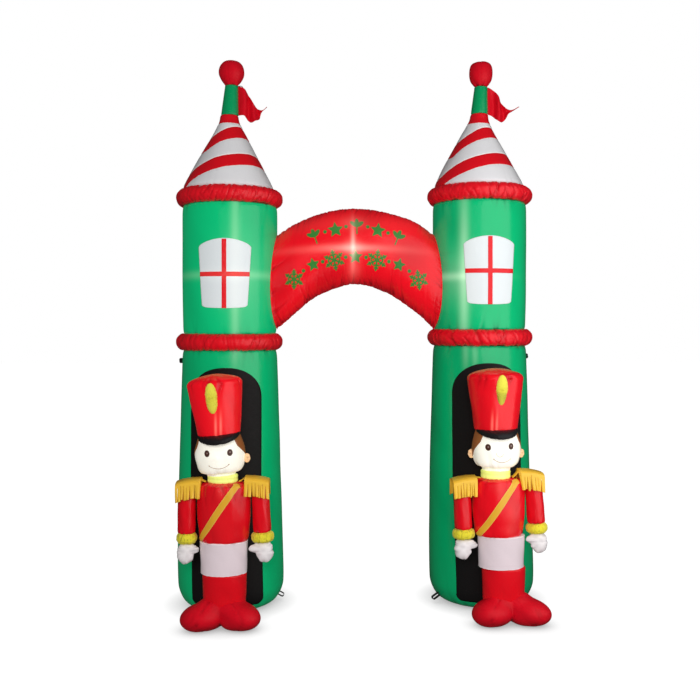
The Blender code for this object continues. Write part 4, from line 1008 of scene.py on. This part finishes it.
# The two toy soldiers: sideways shifts from the soldier's x, turns in degrees, and features of the face by
# their front-view place on the head.
soldierAxisY = towerAxisY - 0.4
bodyDepth = 0.77
jacketTop = 0.7397
soldiers = {
    "left": {
        "x": -0.7015, "boots": -0.011, "bootsApart": 0.0885, "bootsFront": 0.04, "legs": 0.004,
        "trousers": 0.001, "jacket": 0.0013, "collar": -0.005, "chin": 0.009, "head": -0.012, "hat": -0.022,
        "headLean": -4.0, "hatLean": -5.4, "faceTurn": -12.0, "earTurn": -15.0, "waist": 0.44, "hem": 0.273,
        "rise": 0.0, "hatWidth": 1.0, "plumeX": -0.0096, "plumeTurn": 0.0, "plumePoint": 0.0,
        "collarTall": 0.0455, "headUp": 0.007, "plumeZ": 0.196, "hatTall": 0.975, "sash": 0.0,
        "eyes": ((-0.055, 0.1115), (0.06, 0.1085)), "smile": (0.001, 0.031, 0.05), "nose": None,
        "hair": (-45, 56), "seed": 5,
    },
    "right": {
        "x": 0.748, "boots": 0.034, "bootsApart": 0.0895, "bootsFront": 0.05, "legs": 0.009,
        "trousers": -0.005, "jacket": -0.0175, "collar": -0.033, "chin": 0.011, "head": -0.029, "hat": -0.032,
        "headLean": 0.0, "hatLean": -0.8, "faceTurn": 4.0, "earTurn": 0.0, "waist": 0.452, "hem": 0.284,
        "rise": 0.008, "hatWidth": 1.03, "plumeX": 0.0078, "plumeTurn": 1.7, "plumePoint": 0.16,
        "collarTall": 0.052, "headUp": 0.01, "plumeZ": 0.213, "hatTall": 1.0, "sash": 0.003,
        "eyes": ((-0.063, 0.111), (0.0555, 0.116)), "smile": (0.008, 0.033, 0.043), "nose": (-0.005, 0.08),
        "hair": (-48, 48), "seed": 29,
    },
}
bootCloth = {
    "toe": (0.099, 0.126, 0.07), "instep": (0.084, 0.098, 0.08), "ankle": (0.106, 0.08, 0.084),
    "turn": 50, "z": 0.068, "seamsAt": (-0.66, 0.66), "folds": (26, 0.003, 0.0065, 0.018, 0.2),
}
legFolds = (22, 0.0028, 0.0065, 0.03, 0.5)


def buildBoots(side, row):
    # Five balls joined, with a seam down each boot and a deep groove between the two; then the legs.
    b, seed = bootCloth, row["seed"]
    balls = [((0.0, 0.0, 0.014), b["ankle"])]
    for hand in (-1, 1):
        turn = turnAbout("z", hand * b["turn"])
        balls.append(((hand * row["bootsApart"], -row["bootsFront"], -0.01), b["toe"], turn))
        balls.append(((hand * 0.045, -0.022, 0.008), b["instep"], turn))

    def relief(theta, rise, reach):
        out = np.zeros(theta.shape)
        for n, at in enumerate(b["seamsAt"]):
            away = np.abs(theta - at) * reach * np.sin(rise)
            out = out - 0.0011 * np.exp(-(away / 0.0055) ** 2)
            out = out + seamFolds(rise * reach, away, 0.4, b["folds"], seed + n)
        between = np.abs(theta) * reach * np.sin(rise) / 0.0075
        out = out - 0.009 * np.exp(-(between**1.3)) * np.clip(1.9 - rise, 0, 1)
        out = out * np.clip(np.sin(rise) * 3 - 0.6, 0, 1)
        return out + 0.0022 * np.sin(5 * theta + 6 * rise) * np.sin(rise) ** 2

    centre = (row["x"] + row["boots"], soldierAxisY, b["z"])
    piece = bodyOfBalls(f"{side}_boots_cloth", centre, balls, 220, 130, relief, join=16, pressed=True)
    declare(piece, "redMatt")

    def legRelief(theta, s, total):
        return puckers(theta, s, 0.11, legFolds, seed + 3) + swell(theta, s * 3, seed + 4, 0.0012)

    points = [
        (0.09, 0.05), (0.101, 0.085), (0.108, 0.11), (0.11, 0.15), (0.112, 0.2), (0.1135, row["hem"] - 0.012),
        (0.112, row["hem"] - 0.001),
    ]
    legs = makeWall(points, (row["x"] + row["legs"], soldierAxisY, 0), legRelief, bodyDepth)
    sewTube(f"{side}_legs_cloth", legs, 160, 54, "redNylon", node=None)


trouserFolds = (30, 0.0014, 0.006, 0.02, 0.3)
jacketCloth = {
    "wall": [
        (0.12, 0.0015), (0.1252, 0.012), (0.128, 0.03), (0.1305, 0.06), (0.1364, 0.118), (0.1378, 0.19),
        (0.1372, 0.24), (0.133, 0.272), (0.124, 0.29), (0.104, 0.2985), (0.085, 0.301),
    ],
    "tall": 0.3002, "lowFolds": (34, 0.0016, 0.0065, 0.026, 0.3), "topFolds": (30, 0.0075, 0.008, 0.05, 0.9),
}


def buildTrousers(side, row):
    # Puckers at both ends, and a piping whose mark is 8.5 mm less the distance to the nearer end.
    low, high = row["hem"] + 0.0004, row["waist"]
    points = [
        (0.113, low), (0.118, low + 0.0012), (0.1192, low + 0.005), (0.1188, low + 0.012),
        (0.12, low + (high - low) / 2), (0.1232, high - 0.012), (0.1242, high - 0.005),
        (0.1236, high - 0.0012), (0.118, high),
    ]

    def relief(theta, s, total):
        ends = endPuckers(theta, s, total, 0.12, trouserFolds, row["seed"] + 6)
        return ends + swell(theta, s * 3, row["seed"] + 8, 0.0012)

    def nearEdge(theta, s):
        return 0.0085 - np.minimum(s, wall["total"] - s) + 0 * theta

    wall = makeWall(points, (row["x"] + row["trousers"], soldierAxisY, 0), relief, bodyDepth)
    name = f"{side}_trousers_cloth"
    sewTube(name, wall, 160, 80, "trouserNylon", {"edge": nearEdge})


def buildJacket(side, row):
    # The wall is stretched from the waist to the neck. The neck's long folds are strongest in front,
    # 0.35 + 0.65 * exp(-((theta + 0.25) / 0.9)^2), and fade out over the last 30 mm.
    scale = jacketTop + row["rise"] - row["waist"]
    points = [(r, z * scale / jacketCloth["tall"] + row["waist"]) for r, z in jacketCloth["wall"]]
    seed = row["seed"] + 10

    def relief(theta, s, total):
        front = 0.35 + 0.65 * np.exp(-((theta + 0.25) / 0.9) ** 2)
        hem = puckers(theta, s, 0.13, jacketCloth["lowFolds"], seed)
        neck = puckers(theta, np.maximum(total - s - 0.03, 0), 0.13, jacketCloth["topFolds"], seed + 1)
        return hem + neck * front * np.clip((total - s) / 0.03, 0, 1) + swell(theta, s * 2, seed + 2, 0.0022)

    wall = makeWall(points, (row["x"] + row["jacket"], soldierAxisY, 0), relief, bodyDepth)
    sewTube(f"{side}_jacket_cloth", wall, 210, 120, "redNylon")
    return wall


sashCloth = {
    "line": (
        (0.082, 0.739), (0.074, 0.734), (0.064, 0.7235), (-0.006, 0.627), (-0.08, 0.513), (-0.108, 0.468),
        (-0.12, 0.443),
    ),
    "wide": 0.034, "thick": 0.0012,
}


def buildSash(side, row, wall):
    # The middle line in the front view is carried onto the jacket as (arc, height); the strap's width is
    # set off square to it there, and the point comes back as angle = arc / radius.
    half = sashCloth["wide"] / 2
    line = smoothPath(sashCloth["line"], 120) + (row["sash"], row["rise"])
    r = radiusAt(wall, lengthAt(wall, line[:, 1]))
    arc = np.arcsin(np.clip(line[:, 0] / r, -0.985, 0.985)) * r
    path = np.stack([arc, line[:, 1]], axis=1)
    step = directions(path)
    square = np.stack([step[:, 1], -step[:, 0]], axis=1)
    across = np.linspace(-1, 1, 15)
    spot = path[:, None] + square[:, None] * across[None, :, None] * half
    s = lengthAt(wall, np.clip(spot[..., 1], row["waist"] + 0.0015, 0.7385 + row["rise"]))
    theta = spot[..., 0] / radiusAt(wall, s)
    points = wallPoints(wall, theta, s, 0.0016 + 0.0012 * (1 - across**2))
    uv = np.stack(np.broadcast_arrays(across * half, lengthAlong(path)[:, None]), axis=-1)
    edge = np.broadcast_to(0.0032 - (1 - np.abs(across)) * half, s.shape)
    piece = openSheet(f"{side}_sash_cloth", points, uv, sashCloth["thick"], marks={"edge": edge})
    declare(piece, "sashSatin")


collarFolds = (26, 0.0022, 0.0045, 0.016, 0.4)


def buildCollar(side, row):
    # A short band between the jacket and the chin, puckered at both ends.
    low = jacketTop + row["rise"]
    high = low + row["collarTall"] - row["chin"] + 0.004
    points = [
        (0.066, low + 0.0006), (0.0745, low + 0.002), (0.078, low + 0.01), (0.0765, (low + high) / 2),
        (0.078, high - 0.01), (0.075, high - 0.0022), (0.068, high - 0.0006),
    ]

    def relief(theta, s, total):
        return endPuckers(theta, s, total, 0.078, collarFolds, row["seed"] + 12)

    wall = makeWall(points, (row["x"] + row["collar"], soldierAxisY, 0), relief, 0.9)
    sewTube(f"{side}_collar_cloth", wall, 140, 44, "limeNylon")


headCloth = {
    "wall": [
        (0.09, -0.0005), (0.103, 0.005), (0.112, 0.0155), (0.1185, 0.03), (0.1245, 0.057), (0.1285, 0.09),
        (0.125, 0.126), (0.116, 0.156), (0.107, 0.186), (0.1, 0.1895),
    ],
    "jaw": (14, 0.0045, 0.012, 0.035, 0.2), "depth": 0.86,
    # the hairline's turn from the face's middle, by height, where its own side reaches 52 degrees
    "hairAt": (0.03, 0.062, 0.085, 0.104, 0.135, 0.19), "hairTurn": (125, 96, 88, 76, 60, 52),
    "behind": -0.05,
}
ear = {"half": (0.018, 0.012, 0.024), "side": {-1: 0.13, 1: 0.137}, "z": 0.064, "back": 9}


def buildHead(side, row):
    # A turned wall with its columns drawn to the front, its features as marks, and an ear on each side.
    foot = jacketTop + row["rise"] + row["collarTall"] + row["headUp"]
    lean = turnAbout("y", row["headLean"])
    centre = np.array([row["x"] + row["head"], soldierAxisY, foot])
    face = math.radians(row["faceTurn"])
    seed, behind = row["seed"] + 15, headCloth["behind"]

    def hair(theta, s):
        # Hair outside two hairlines that swing back towards the ears, and all round behind above the nape.
        turn = np.degrees((theta - face + np.pi) % (2 * np.pi) - np.pi)
        sweep = np.interp(np.interp(s, wall["s"], wall["z"]), headCloth["hairAt"], headCloth["hairTurn"])
        scale = np.where(turn < 0, -row["hair"][0], row["hair"][1]) / 52
        return (np.abs(turn) - sweep * scale) * math.pi / 180 * radiusAt(wall, s)

    def drawn(rule):
        # A mark from a distance rule on front-view places, x = r sin(theta) and z over the head's foot.
        def mark(theta, s):
            x, z = radiusAt(wall, s) * np.sin(theta), np.interp(s, wall["s"], wall["z"])
            return np.where(np.cos(theta) > 0, np.maximum(rule(x, z), behind), behind)
        return mark

    def eyes(x, z):
        # Ovals: 15 mm * (1 - distance in half axes), and the nearer eye counts.
        ovals = (np.hypot((x - ex) / 0.0138, (z - ez) / 0.0172) for ex, ez in row["eyes"])
        return 0.015 * (1 - np.minimum(*ovals))

    def glints(x, z):
        # A round dot a little up and right of each eye's middle.
        return np.maximum(*(0.0036 - np.hypot(x - ex - 0.001, z - ez - 0.002) for ex, ez in row["eyes"]))

    def smile(x, z):
        # A line along a parabola with a dot at each end, and a nose drawn as the lower part of a ring.
        smileX, smileZ, half = row["smile"]
        along = np.clip((x - smileX) / half, -1, 1)
        line = 0.0016 - np.hypot(x - smileX - along * half, (z - smileZ - 0.016 * along**2) * 0.9)
        for end in (-1, 1):
            line = np.maximum(line, 0.0034 - np.hypot(x - smileX - end * half, z - smileZ - 0.018))
        if row["nose"]:
            noseX, noseZ = row["nose"]
            arc = 0.0013 - np.abs(np.hypot(x - noseX, z - noseZ) - 0.017)
            line = np.maximum(line, np.where(z < noseZ + 0.004, arc, behind))
        return line

    def relief(theta, s, total):
        # Folds along the jaw, hair 1.8 mm proud behind a groove at its edge, and a small bump for the nose.
        jaw = puckers(theta, np.abs(s - lengthAt(wall, 0.004)), 0.12, headCloth["jaw"], seed)
        edge = hair(theta, s)
        out = jaw * np.clip(s / 0.02, 0, 1)
        out = out + 0.0018 / (1 + np.exp(-edge / 0.0015)) - 0.0012 * np.exp(-(edge / 0.003) ** 2)
        aside, above = (theta - face * 0.3) * 0.13 / 0.016, (s - total * 0.53) / 0.013
        return out + 0.003 * np.exp(-(aside**2) - above**2) + swell(theta, s * 3, seed + 1, 0.002)

    chin = row["chin"] + row["headUp"]
    neck = [(0.064, -chin), (0.0715, -chin + 0.0015), (0.0745, -chin * 0.55), (0.0785, -0.0025)]
    wall = makeWall(neck + headCloth["wall"], centre, relief, headCloth["depth"], lean)
    marks = {"hair": hair, "eye": drawn(eyes), "glint": drawn(glints), "smile": drawn(smile)}
    sewTube(f"{side}_head_cloth", wall, 240, 170, "faceNylon", marks, crowd=0.42)
    for hand, letter in ((-1, "l"), (1, "r")):
        back = turnAbout("z", row["earTurn"] + hand * ear["back"])
        place = centre + lean @ back @ np.array([hand * ear["side"][hand], 0.0, ear["z"]])

        def dish(theta, rise, reach):
            # The ear's front is hollowed by 3.5 mm * exp(-(across / 0.55)^2 - (up / 0.5)^2).
            hollow = np.exp(-(((theta - 0.5 * hand) / 0.55) ** 2) - ((rise - 1.6) / 0.5) ** 2)
            return -0.0035 * hollow + 0.0006 * np.sin(6 * rise)

        balls = [((0, 0, 0), ear["half"])]
        one = bodyOfBalls(f"{side}_ear_{letter}_cloth", place, balls, 40, 28, dish, lean @ back)
        declare(one, "skinNylon", None)
    return foot


hatCloth = {
    "wall": [
        (0.1, 0.0003), (0.1078, 0.002), (0.11, 0.012), (0.118, 0.07), (0.127, 0.14), (0.135, 0.2),
        (0.1405, 0.25), (0.1424, 0.269), (0.1385, 0.281), (0.127, 0.2925), (0.106, 0.302), (0.076, 0.3105),
        (0.035, 0.318), (0.008, 0.3198),
    ],
    "shoulderAt": 0.274, "depth": 0.9, "over": 0.193,
    "brimFolds": (24, 0.0012, 0.005, 0.016, 0.2), "domeFolds": (30, 0.01, 0.0085, 0.028, 0.45),
}
visorCloth = {"half": 0.1111, "front": 0.148, "innerHalf": 0.1075, "innerFront": 0.0935, "thick": 0.019}
plumeCloth = {"half": (0.03, 0.016, 0.079), "proud": 0.012, "slope": 6.5}


def buildHat(side, row, foot):
    # Folds at the brim, and stronger ones on both sides of the dome's seam.
    turn, seed = turnAbout("y", row["hatLean"]), row["seed"] + 18
    centre = np.array([row["x"] + row["hat"], soldierAxisY, foot + hatCloth["over"]])
    points = [(r * row["hatWidth"], z * row["hatTall"]) for r, z in hatCloth["wall"]]

    def relief(theta, s, total):
        away = np.abs(s - lengthAt(wall, hatCloth["shoulderAt"] * row["hatTall"]))
        dome = puckers(theta, away, 0.14, hatCloth["domeFolds"], seed + 1)
        brim = puckers(theta, s, 0.11, hatCloth["brimFolds"], seed)
        return brim + (0.75 + 0.25 * np.sin(2 * theta + 1)) * dome + swell(theta, s * 2, seed + 2, 0.0018)

    wall = makeWall(points, centre, relief, hatCloth["depth"], turn)
    sewTube(f"{side}_hat_cloth", wall, 230, 120, "redNylon")
    buildVisor(side, row, centre, turn, seed + 3)
    buildPlume(side, row, wall, seed + 5)


def buildVisor(side, row, centre, hatTurn, seed):
    # From the forehead to the rim, an oval section whose ends close at the temples. It is thickest in the
    # middle, 0.12 + 0.88 * cos(turn)^0.8, and pinched by creases exp(-|offset / 0.045|^1.5).
    v = visorCloth
    turn = np.linspace(-1.5, 1.5, 120)[:, None]
    angle = np.linspace(0, 2 * np.pi, 49)[None, :-1]
    end = np.sqrt(np.maximum(1 - np.abs(turn / 1.52) ** 4, 0.002))
    crescent = 0.12 + 0.88 * np.cos(turn) ** 0.8
    part = 0.5 + 0.5 * np.cos(angle) * end
    rng = np.random.default_rng(seed)
    crease = 0
    for _ in range(14):
        size = 0.5 + rng.random()
        offset = turn - rng.uniform(-1.3, 1.3) - 0.1 * np.cos(angle)
        crease = crease + size * np.exp(-np.abs(offset / 0.045) ** 1.5)
    blunt = np.abs(np.sin(angle)) ** np.where(np.cos(angle) > 0, 0.75, 0.22) * np.sign(np.sin(angle))
    thick = v["thick"] * crescent * (1 - 0.1 * crease) * blunt
    headTop = row["x"] + row["head"] + math.sin(math.radians(row["headLean"])) * 0.19 - centre[0]
    x = (v["innerHalf"] + (v["half"] - v["innerHalf"]) * part) * np.sin(turn) + headTop * (1 - part)
    y = -(v["innerFront"] + (v["front"] - v["innerFront"]) * part) * np.cos(turn) - 0.0015 * crease * part
    z = 0.0095 - 0.018 * crescent + thick - 0.017 * part * np.cos(turn)
    places = np.stack(np.broadcast_arrays(x, y, z), axis=-1) @ hatTurn.T + centre
    uv = np.stack(np.broadcast_arrays(turn * 0.14, np.linspace(0, 0.14, 49)[None, :]), axis=-1)
    piece = closedTube(f"{side}_visor_cloth", places, uv)
    declare(piece, "blackSatin")


def buildPlume(side, row, wall, seed):
    # A plush oval on the hat's front: waves of random number and phase round it and along it, and a tip
    # drawn in by the row's share.
    z, (wide, deep, tall) = row["plumeZ"], plumeCloth["half"]
    front = radiusAt(wall, lengthAt(wall, z)) * hatCloth["depth"]
    tilt = turnAbout("y", row["plumeTurn"]) @ turnAbout("x", plumeCloth["slope"])
    place = np.array([row["plumeX"], deep - plumeCloth["proud"] - front, z])

    def plush(theta, rise, reach):
        rng = np.random.default_rng(seed)
        out = np.zeros(theta.shape)
        for _ in range(12):
            a, b, c, d = rng.random(4)
            out = out + np.sin((5 + 14 * a) * theta + 6.28 * b) * np.sin((8 + 26 * c) * rise + 6.28 * d)
        drawnIn = row["plumePoint"] * np.clip((rise < 1.57) * np.cos(rise) - 0.25, 0, 1)
        return (0.0011 * out - reach * drawnIn * 2) * np.sin(rise)

    balls = [
        ((0, 0, tall * 0.22), (wide * 0.96, deep, tall * 0.78)),
        ((0, 0, -tall * 0.2), (wide * 0.92, deep, tall * 0.8)),
    ]
    centre = wall["centre"] + wall["turn"] @ place
    piece = bodyOfBalls(f"{side}_plume_cloth", centre, balls, 72, 90, plush, wall["turn"] @ tilt)
    declare(piece, "plumePlush")


# Each arm hangs from its shoulder to its cuff: places and heights, the cuff's radius and the thumb's reach.
arms = {
    ("left", "l"): (-0.1875, 0.483, -0.1885, 0.754, 0.0533, 0.066),
    ("left", "r"): (0.199, 0.485, 0.1845, 0.761, 0.059, 0.078),
    ("right", "l"): (-0.2055, 0.4868, -0.215, 0.752, 0.058, 0.074),
    ("right", "r"): (0.179, 0.5136, 0.159, 0.785, 0.0565, 0.064),
}
armY = -0.014
cuffTall = 0.051
sleeveFolds = (16, 0.0026, 0.0055, 0.03, 0.5)
cuffFolds = (26, 0.003, 0.004, 0.016, 0.5)
gloveFolds = (16, 0.0026, 0.0035, 0.012, 0.3)


def buildArm(side, hand, row):
    # A sleeve and a cuff on the same leaning axis, and a mitten under them.
    cuffX, cuffZ, shoulderX, shoulderZ, cuffR, thumb = arms[side, hand]
    inward = 1 if hand == "l" else -1
    tall, low = shoulderZ - cuffZ, -cuffTall
    turn = turnAbout("y", math.degrees(math.atan2(shoulderX - cuffX, tall)))
    centre = np.array([row["x"] + cuffX, soldierAxisY + armY, cuffZ])
    seed = row["seed"] + (21 if hand == "l" else 31)

    def sleeveRelief(theta, s, total):
        out = puckers(theta, s, 0.046, sleeveFolds, seed)
        top = puckers(theta, np.abs(total - s - 0.03), 0.046, sleeveFolds, seed + 1)
        return out + top * np.clip((total - s) / 0.03, 0, 1) + swell(theta, s * 3, seed + 2, 0.0014)

    def cuffRelief(theta, s, total):
        out = endPuckers(theta, s, total, 0.05, cuffFolds, seed + 3)
        out = out + crumple(theta, s, 0.05, seed + 5, 0.0016, 0.02)
        return np.clip(np.minimum(s, total - s) / 0.008, 0, 1) * out

    points = [
        (0.04, 0.0003), (0.0455, 0.006), (0.0468, 0.03), (0.0458, tall * 0.45), (0.0452, tall * 0.65),
        (0.043, tall - 0.04), (0.037, tall - 0.02), (0.028, tall - 0.01), (0.015, tall - 0.003),
        (0.005, tall - 0.0004),
    ]
    sleeve = makeWall(points, centre, sleeveRelief, 1.0, turn)
    sewTube(f"{side}_sleeve_{hand}_cloth", sleeve, 100, 90, "redNylon")
    points = [
        (0.038, low + 0.0003), (0.042, low - 0.0005), (cuffR - 0.006, low + 0.006),
        (cuffR - 0.0008, low + 0.016), (cuffR, low / 2), (cuffR - 0.0008, -0.016), (cuffR - 0.006, -0.006),
        (0.042, 0.0005), (0.038, -0.0003),
    ]
    cuff = makeWall(points, centre, cuffRelief, 1.0, turn)
    sewTube(f"{side}_cuff_{hand}_cloth", cuff, 150, 60, "yellowPlush")

    def mitten(theta, rise, reach):
        # The sewn edge is scalloped underneath: depth * |sin(4.2 * angle)|, and puckers run along it.
        x, y = reach * np.sin(rise) * np.sin(theta), reach * np.sin(rise) * np.cos(theta)
        seam = np.abs(np.abs(np.sin(theta)) - 1) * reach
        under = np.clip(np.cos(rise) + 0.35, 0, 1) * np.exp(-((y / 0.02) ** 2))
        scallop = 0.0042 * np.abs(np.sin(4.2 * np.arctan2(x, reach * np.cos(rise)) + seed)) * under
        gathered = seamFolds(rise * 0.05, seam, 0.16, gloveFolds, seed + 6)
        return -scallop + gathered * np.sin(rise) + 0.0012 * np.sin(4 * theta + seed) * np.sin(5 * rise)

    balls = [
        ((-inward * 0.007, 0, -0.019), (0.0465, 0.0345, 0.052)),
        ((-inward * 0.002, 0, 0.012), (0.042, 0.032, 0.028)),
        ((inward * (thumb - 0.042), -0.004, 0.0085), (0.042, 0.02, 0.022), turnAbout("y", inward * 8)),
    ]
    under = centre + turn @ np.array([0, 0, low - 0.04])
    piece = bodyOfBalls(f"{side}_glove_{hand}_cloth", under, balls, 120, 84, mitten, turn, join=7)
    declare(piece, "gloveNylon")


fringe = {
    "inner": 0.115, "outer": 0.239, "start": 0.084, "armAt": 0.188, "top": 0.014, "drop": 0.094,
    "half": 0.066, "flare": 0.002, "strips": 8, "strapColumns": 11, "columns": 90, "rows": 96,
    "thick": 0.0012, "bend": 0.42, "bent": 0.026, "strapHalf": 0.022, "strapTop": 0.747, "strapSag": 0.003,
}


def buildEpaulette(side, hand, row):
    # A cloth over the shoulder: out runs from the collar outward, over from the front hem over the shoulder
    # to the back hem. A round section turns straight down after the bend, and the inner columns are a strap.
    # Between slits each fringe strip has its own length, sway and curl.
    _, _, shoulderX, shoulderZ, _, _ = arms[side, hand]
    e, sign = fringe, (-1 if hand == "l" else 1)
    strips, columns = e["strips"], e["columns"]
    shift = abs(shoulderX - row["jacket"]) - e["armAt"]
    start = sign * (row["collar"] - row["jacket"]) + e["start"]
    inner, outer = e["inner"] + shift, e["outer"] + shift
    rng = np.random.default_rng(row["seed"] + (51 if hand == "l" else 71))
    ends = np.cumsum(0.6 + 0.8 * rng.random(strips))
    ends = ends / ends[-1] * columns
    begins = np.concatenate([[0], ends[:-1]])
    strap = np.linspace(start, inner, e["strapColumns"] + 1)[:-1]
    out = np.concatenate([strap, np.linspace(inner, outer, columns + 1)])
    strip = np.searchsorted(ends, np.maximum(np.arange(len(out)) - len(strap), 0), side="right")
    strip = np.minimum(strip, strips - 1)
    wide = (ends - begins)[strip] / columns * (outer - inner)
    middle = inner + (begins + ends)[strip] / 2 / columns * (outer - inner)
    over = np.linspace(-1, 1, e["rows"])[:, None]
    down = np.abs(over)
    lengths = (0.95 + 0.14 * rng.random(strips))[strip]
    sway, curl = (rng.random((2, strips)) - 0.5) * 0.007, (rng.random((2, strips)) - 0.5) * 0.016
    lean, bend = (np.where(over > 0, back[strip], front[strip]) for front, back in (sway, curl))
    slitFrom = (0.36 + 0.12 * rng.random(strips))[strip[:-1]]

    onStrap = np.clip((inner - out) / 0.004, 0, 1)
    loose = 1 - onStrap
    part = np.clip((out - inner) / (outer - inner), 0, 1)
    hang = np.clip((down - 0.4) / 0.6, 0, 1)
    bent = np.clip(down / e["bend"], 0, 1)
    fall = e["bent"] * bent**2.6 + (e["drop"] - e["bent"]) * hang * lengths
    fall = fall + 0.012 * part**3 + 0.004 * (1 - part) ** 2 + 0.01 * (out - inner) / 0.13
    wideThere = np.where(down < e["bend"], np.sin(bent * math.pi / 2) * 0.97, 0.97 + 0.03 * hang)
    climb = np.clip((out - start) / (inner - start), 0, 1) ** 1.5
    strapTop = e["strapTop"] + row["rise"]
    strapZ = strapTop + (shoulderZ + e["top"] - 0.008 - strapTop) * climb - e["strapSag"] * down**2
    z = (shoulderZ + e["top"] - fall) * loose + strapZ * onStrap
    y = np.sign(over) * (wideThere * e["half"] + e["flare"] * hang**2)
    y = y * loose + over * e["strapHalf"] * onStrap
    bow = np.sign(over) * 0.006 * np.cos(math.pi * (out - middle) / wide)
    y = y + loose * hang * (bend * hang + bow - 0.002 + 0.0016 * np.sin(60 * z + 9 * strip))
    gathered = middle + (out - middle) * (1 - 0.05 * hang) + lean * hang**1.5
    x = row["x"] + row["jacket"] + sign * (gathered * loose + out * onStrap)
    points = np.stack(np.broadcast_arrays(x, soldierAxisY + armY * 0.5 + y, z), axis=-1)
    uv = np.stack(np.broadcast_arrays(out, over * 0.14), axis=-1)
    keep = ~(((down[1:] + down[:-1]) / 2 > slitFrom) & (np.diff(strip) > 0))
    points, uv, keep = (grid[::-1, ::sign] for grid in (points, uv, keep))
    piece = openSheet(f"{side}_epaulette_{hand}_cloth", points, uv, e["thick"], keep)
    declare(piece, "goldSatin")


for side, row in soldiers.items():
    buildBoots(side, row)
    buildTrousers(side, row)
    jacketWall = buildJacket(side, row)
    buildSash(side, row, jacketWall)
    buildCollar(side, row)
    buildHat(side, row, buildHead(side, row))
    for hand in ("l", "r"):
        buildArm(side, hand, row)
        buildEpaulette(side, hand, row)
print("soldiers made")


def areaLight(name, place, aim, size, power, glossy=True):
    # A softbox at its place, turned so that its -z runs to the aim, and hidden from the camera.
    lamp = bpy.data.lights.new(name, "AREA")
    lamp.shape = "RECTANGLE"
    lamp.size, lamp.size_y = size
    lamp.energy = power
    holder = putIn(name, lamp)
    way = np.array(aim, float) - np.array(place, float)
    flat = math.hypot(way[0], way[1])
    holder.location = place
    holder.rotation_euler = (math.atan2(flat, -way[2]), 0, math.atan2(-way[0], way[1]))
    holder.visible_camera = False
    holder.visible_glossy = glossy


def buildStage():
    # Floor, surroundings, three softboxes and the camera.
    mesh = bpy.data.meshes.new("floor")
    mesh.from_pydata([(-30, -30, 0), (30, -30, 0), (30, 30, 0), (-30, 30, 0)], [], [(0, 1, 2, 3)])
    floor = putIn("floor", mesh)
    made = bpy.data.materials.new("paleFloor")
    made.use_nodes = True
    tree = made.node_tree
    shader = tree.nodes["Principled BSDF"].inputs
    shader["Base Color"].default_value = (0.06, 0.06, 0.06, 1)
    shader["Roughness"].default_value = 0.8
    shader["Specular IOR Level"].default_value = 0.1
    # lifted to white, with a painted contact shadow where the feet shut it in
    paintedContactShadow = addNode(tree, "ShaderNodeAmbientOcclusion", {"Distance": 0.14}, samples=12).outputs["AO"]
    plug(tree, shader["Emission Strength"], calc(tree, "MULTIPLY_ADD", paintedContactShadow, 0.66, 0.38))
    shader["Emission Color"].default_value = (1, 1, 1, 1)
    mesh.materials.append(made)
    floor.visible_diffuse = False
    floor.visible_glossy = False

    world = bpy.data.worlds.new("studio")
    world.use_nodes = True
    # white to the camera, dim as light, so that only the softboxes show in the gloss
    tree = world.node_tree
    path = addNode(tree, "ShaderNodeLightPath").outputs
    strength = calc(tree, "MULTIPLY_ADD", path["Is Camera Ray"], 0.86, 0.14)
    strength = calc(tree, "MULTIPLY_ADD", path["Is Glossy Ray"], -0.11, strength)
    sky = tree.nodes["Background"].inputs
    sky["Color"].default_value = (1, 1, 1, 1)
    plug(tree, sky["Strength"], strength)
    bpy.context.scene.world = world
    areaLight("front", (-1.0, -5.6, 2.4), (0, 0, 1.4), (3.0, 2.2), 190, glossy=False)
    areaLight("back", (0.6, 5.4, 3.0), (0, 0, 1.4), (3.0, 2.2), 110, glossy=False)
    areaLight("side", (1.122, -1.346, 1.7), (0.303, -0.772, 1.65), (2.19, 3.0), 24)
    bpy.context.scene.view_settings.view_transform = "Standard"

    lens = bpy.data.cameras.new("camera")
    lens.sensor_width = 36
    lens.lens = 44.486
    lens.shift_x, lens.shift_y = -0.00786, -0.0357
    camera = putIn("camera", lens)
    far, turn = 4.9, math.radians(3)
    camera.location = (-far * math.sin(turn), -far * math.cos(turn) + towerAxisY, 1.549)
    camera.rotation_euler = (math.radians(90), 0, -turn)
    bpy.context.scene.camera = camera


buildStage()
print("stage made")
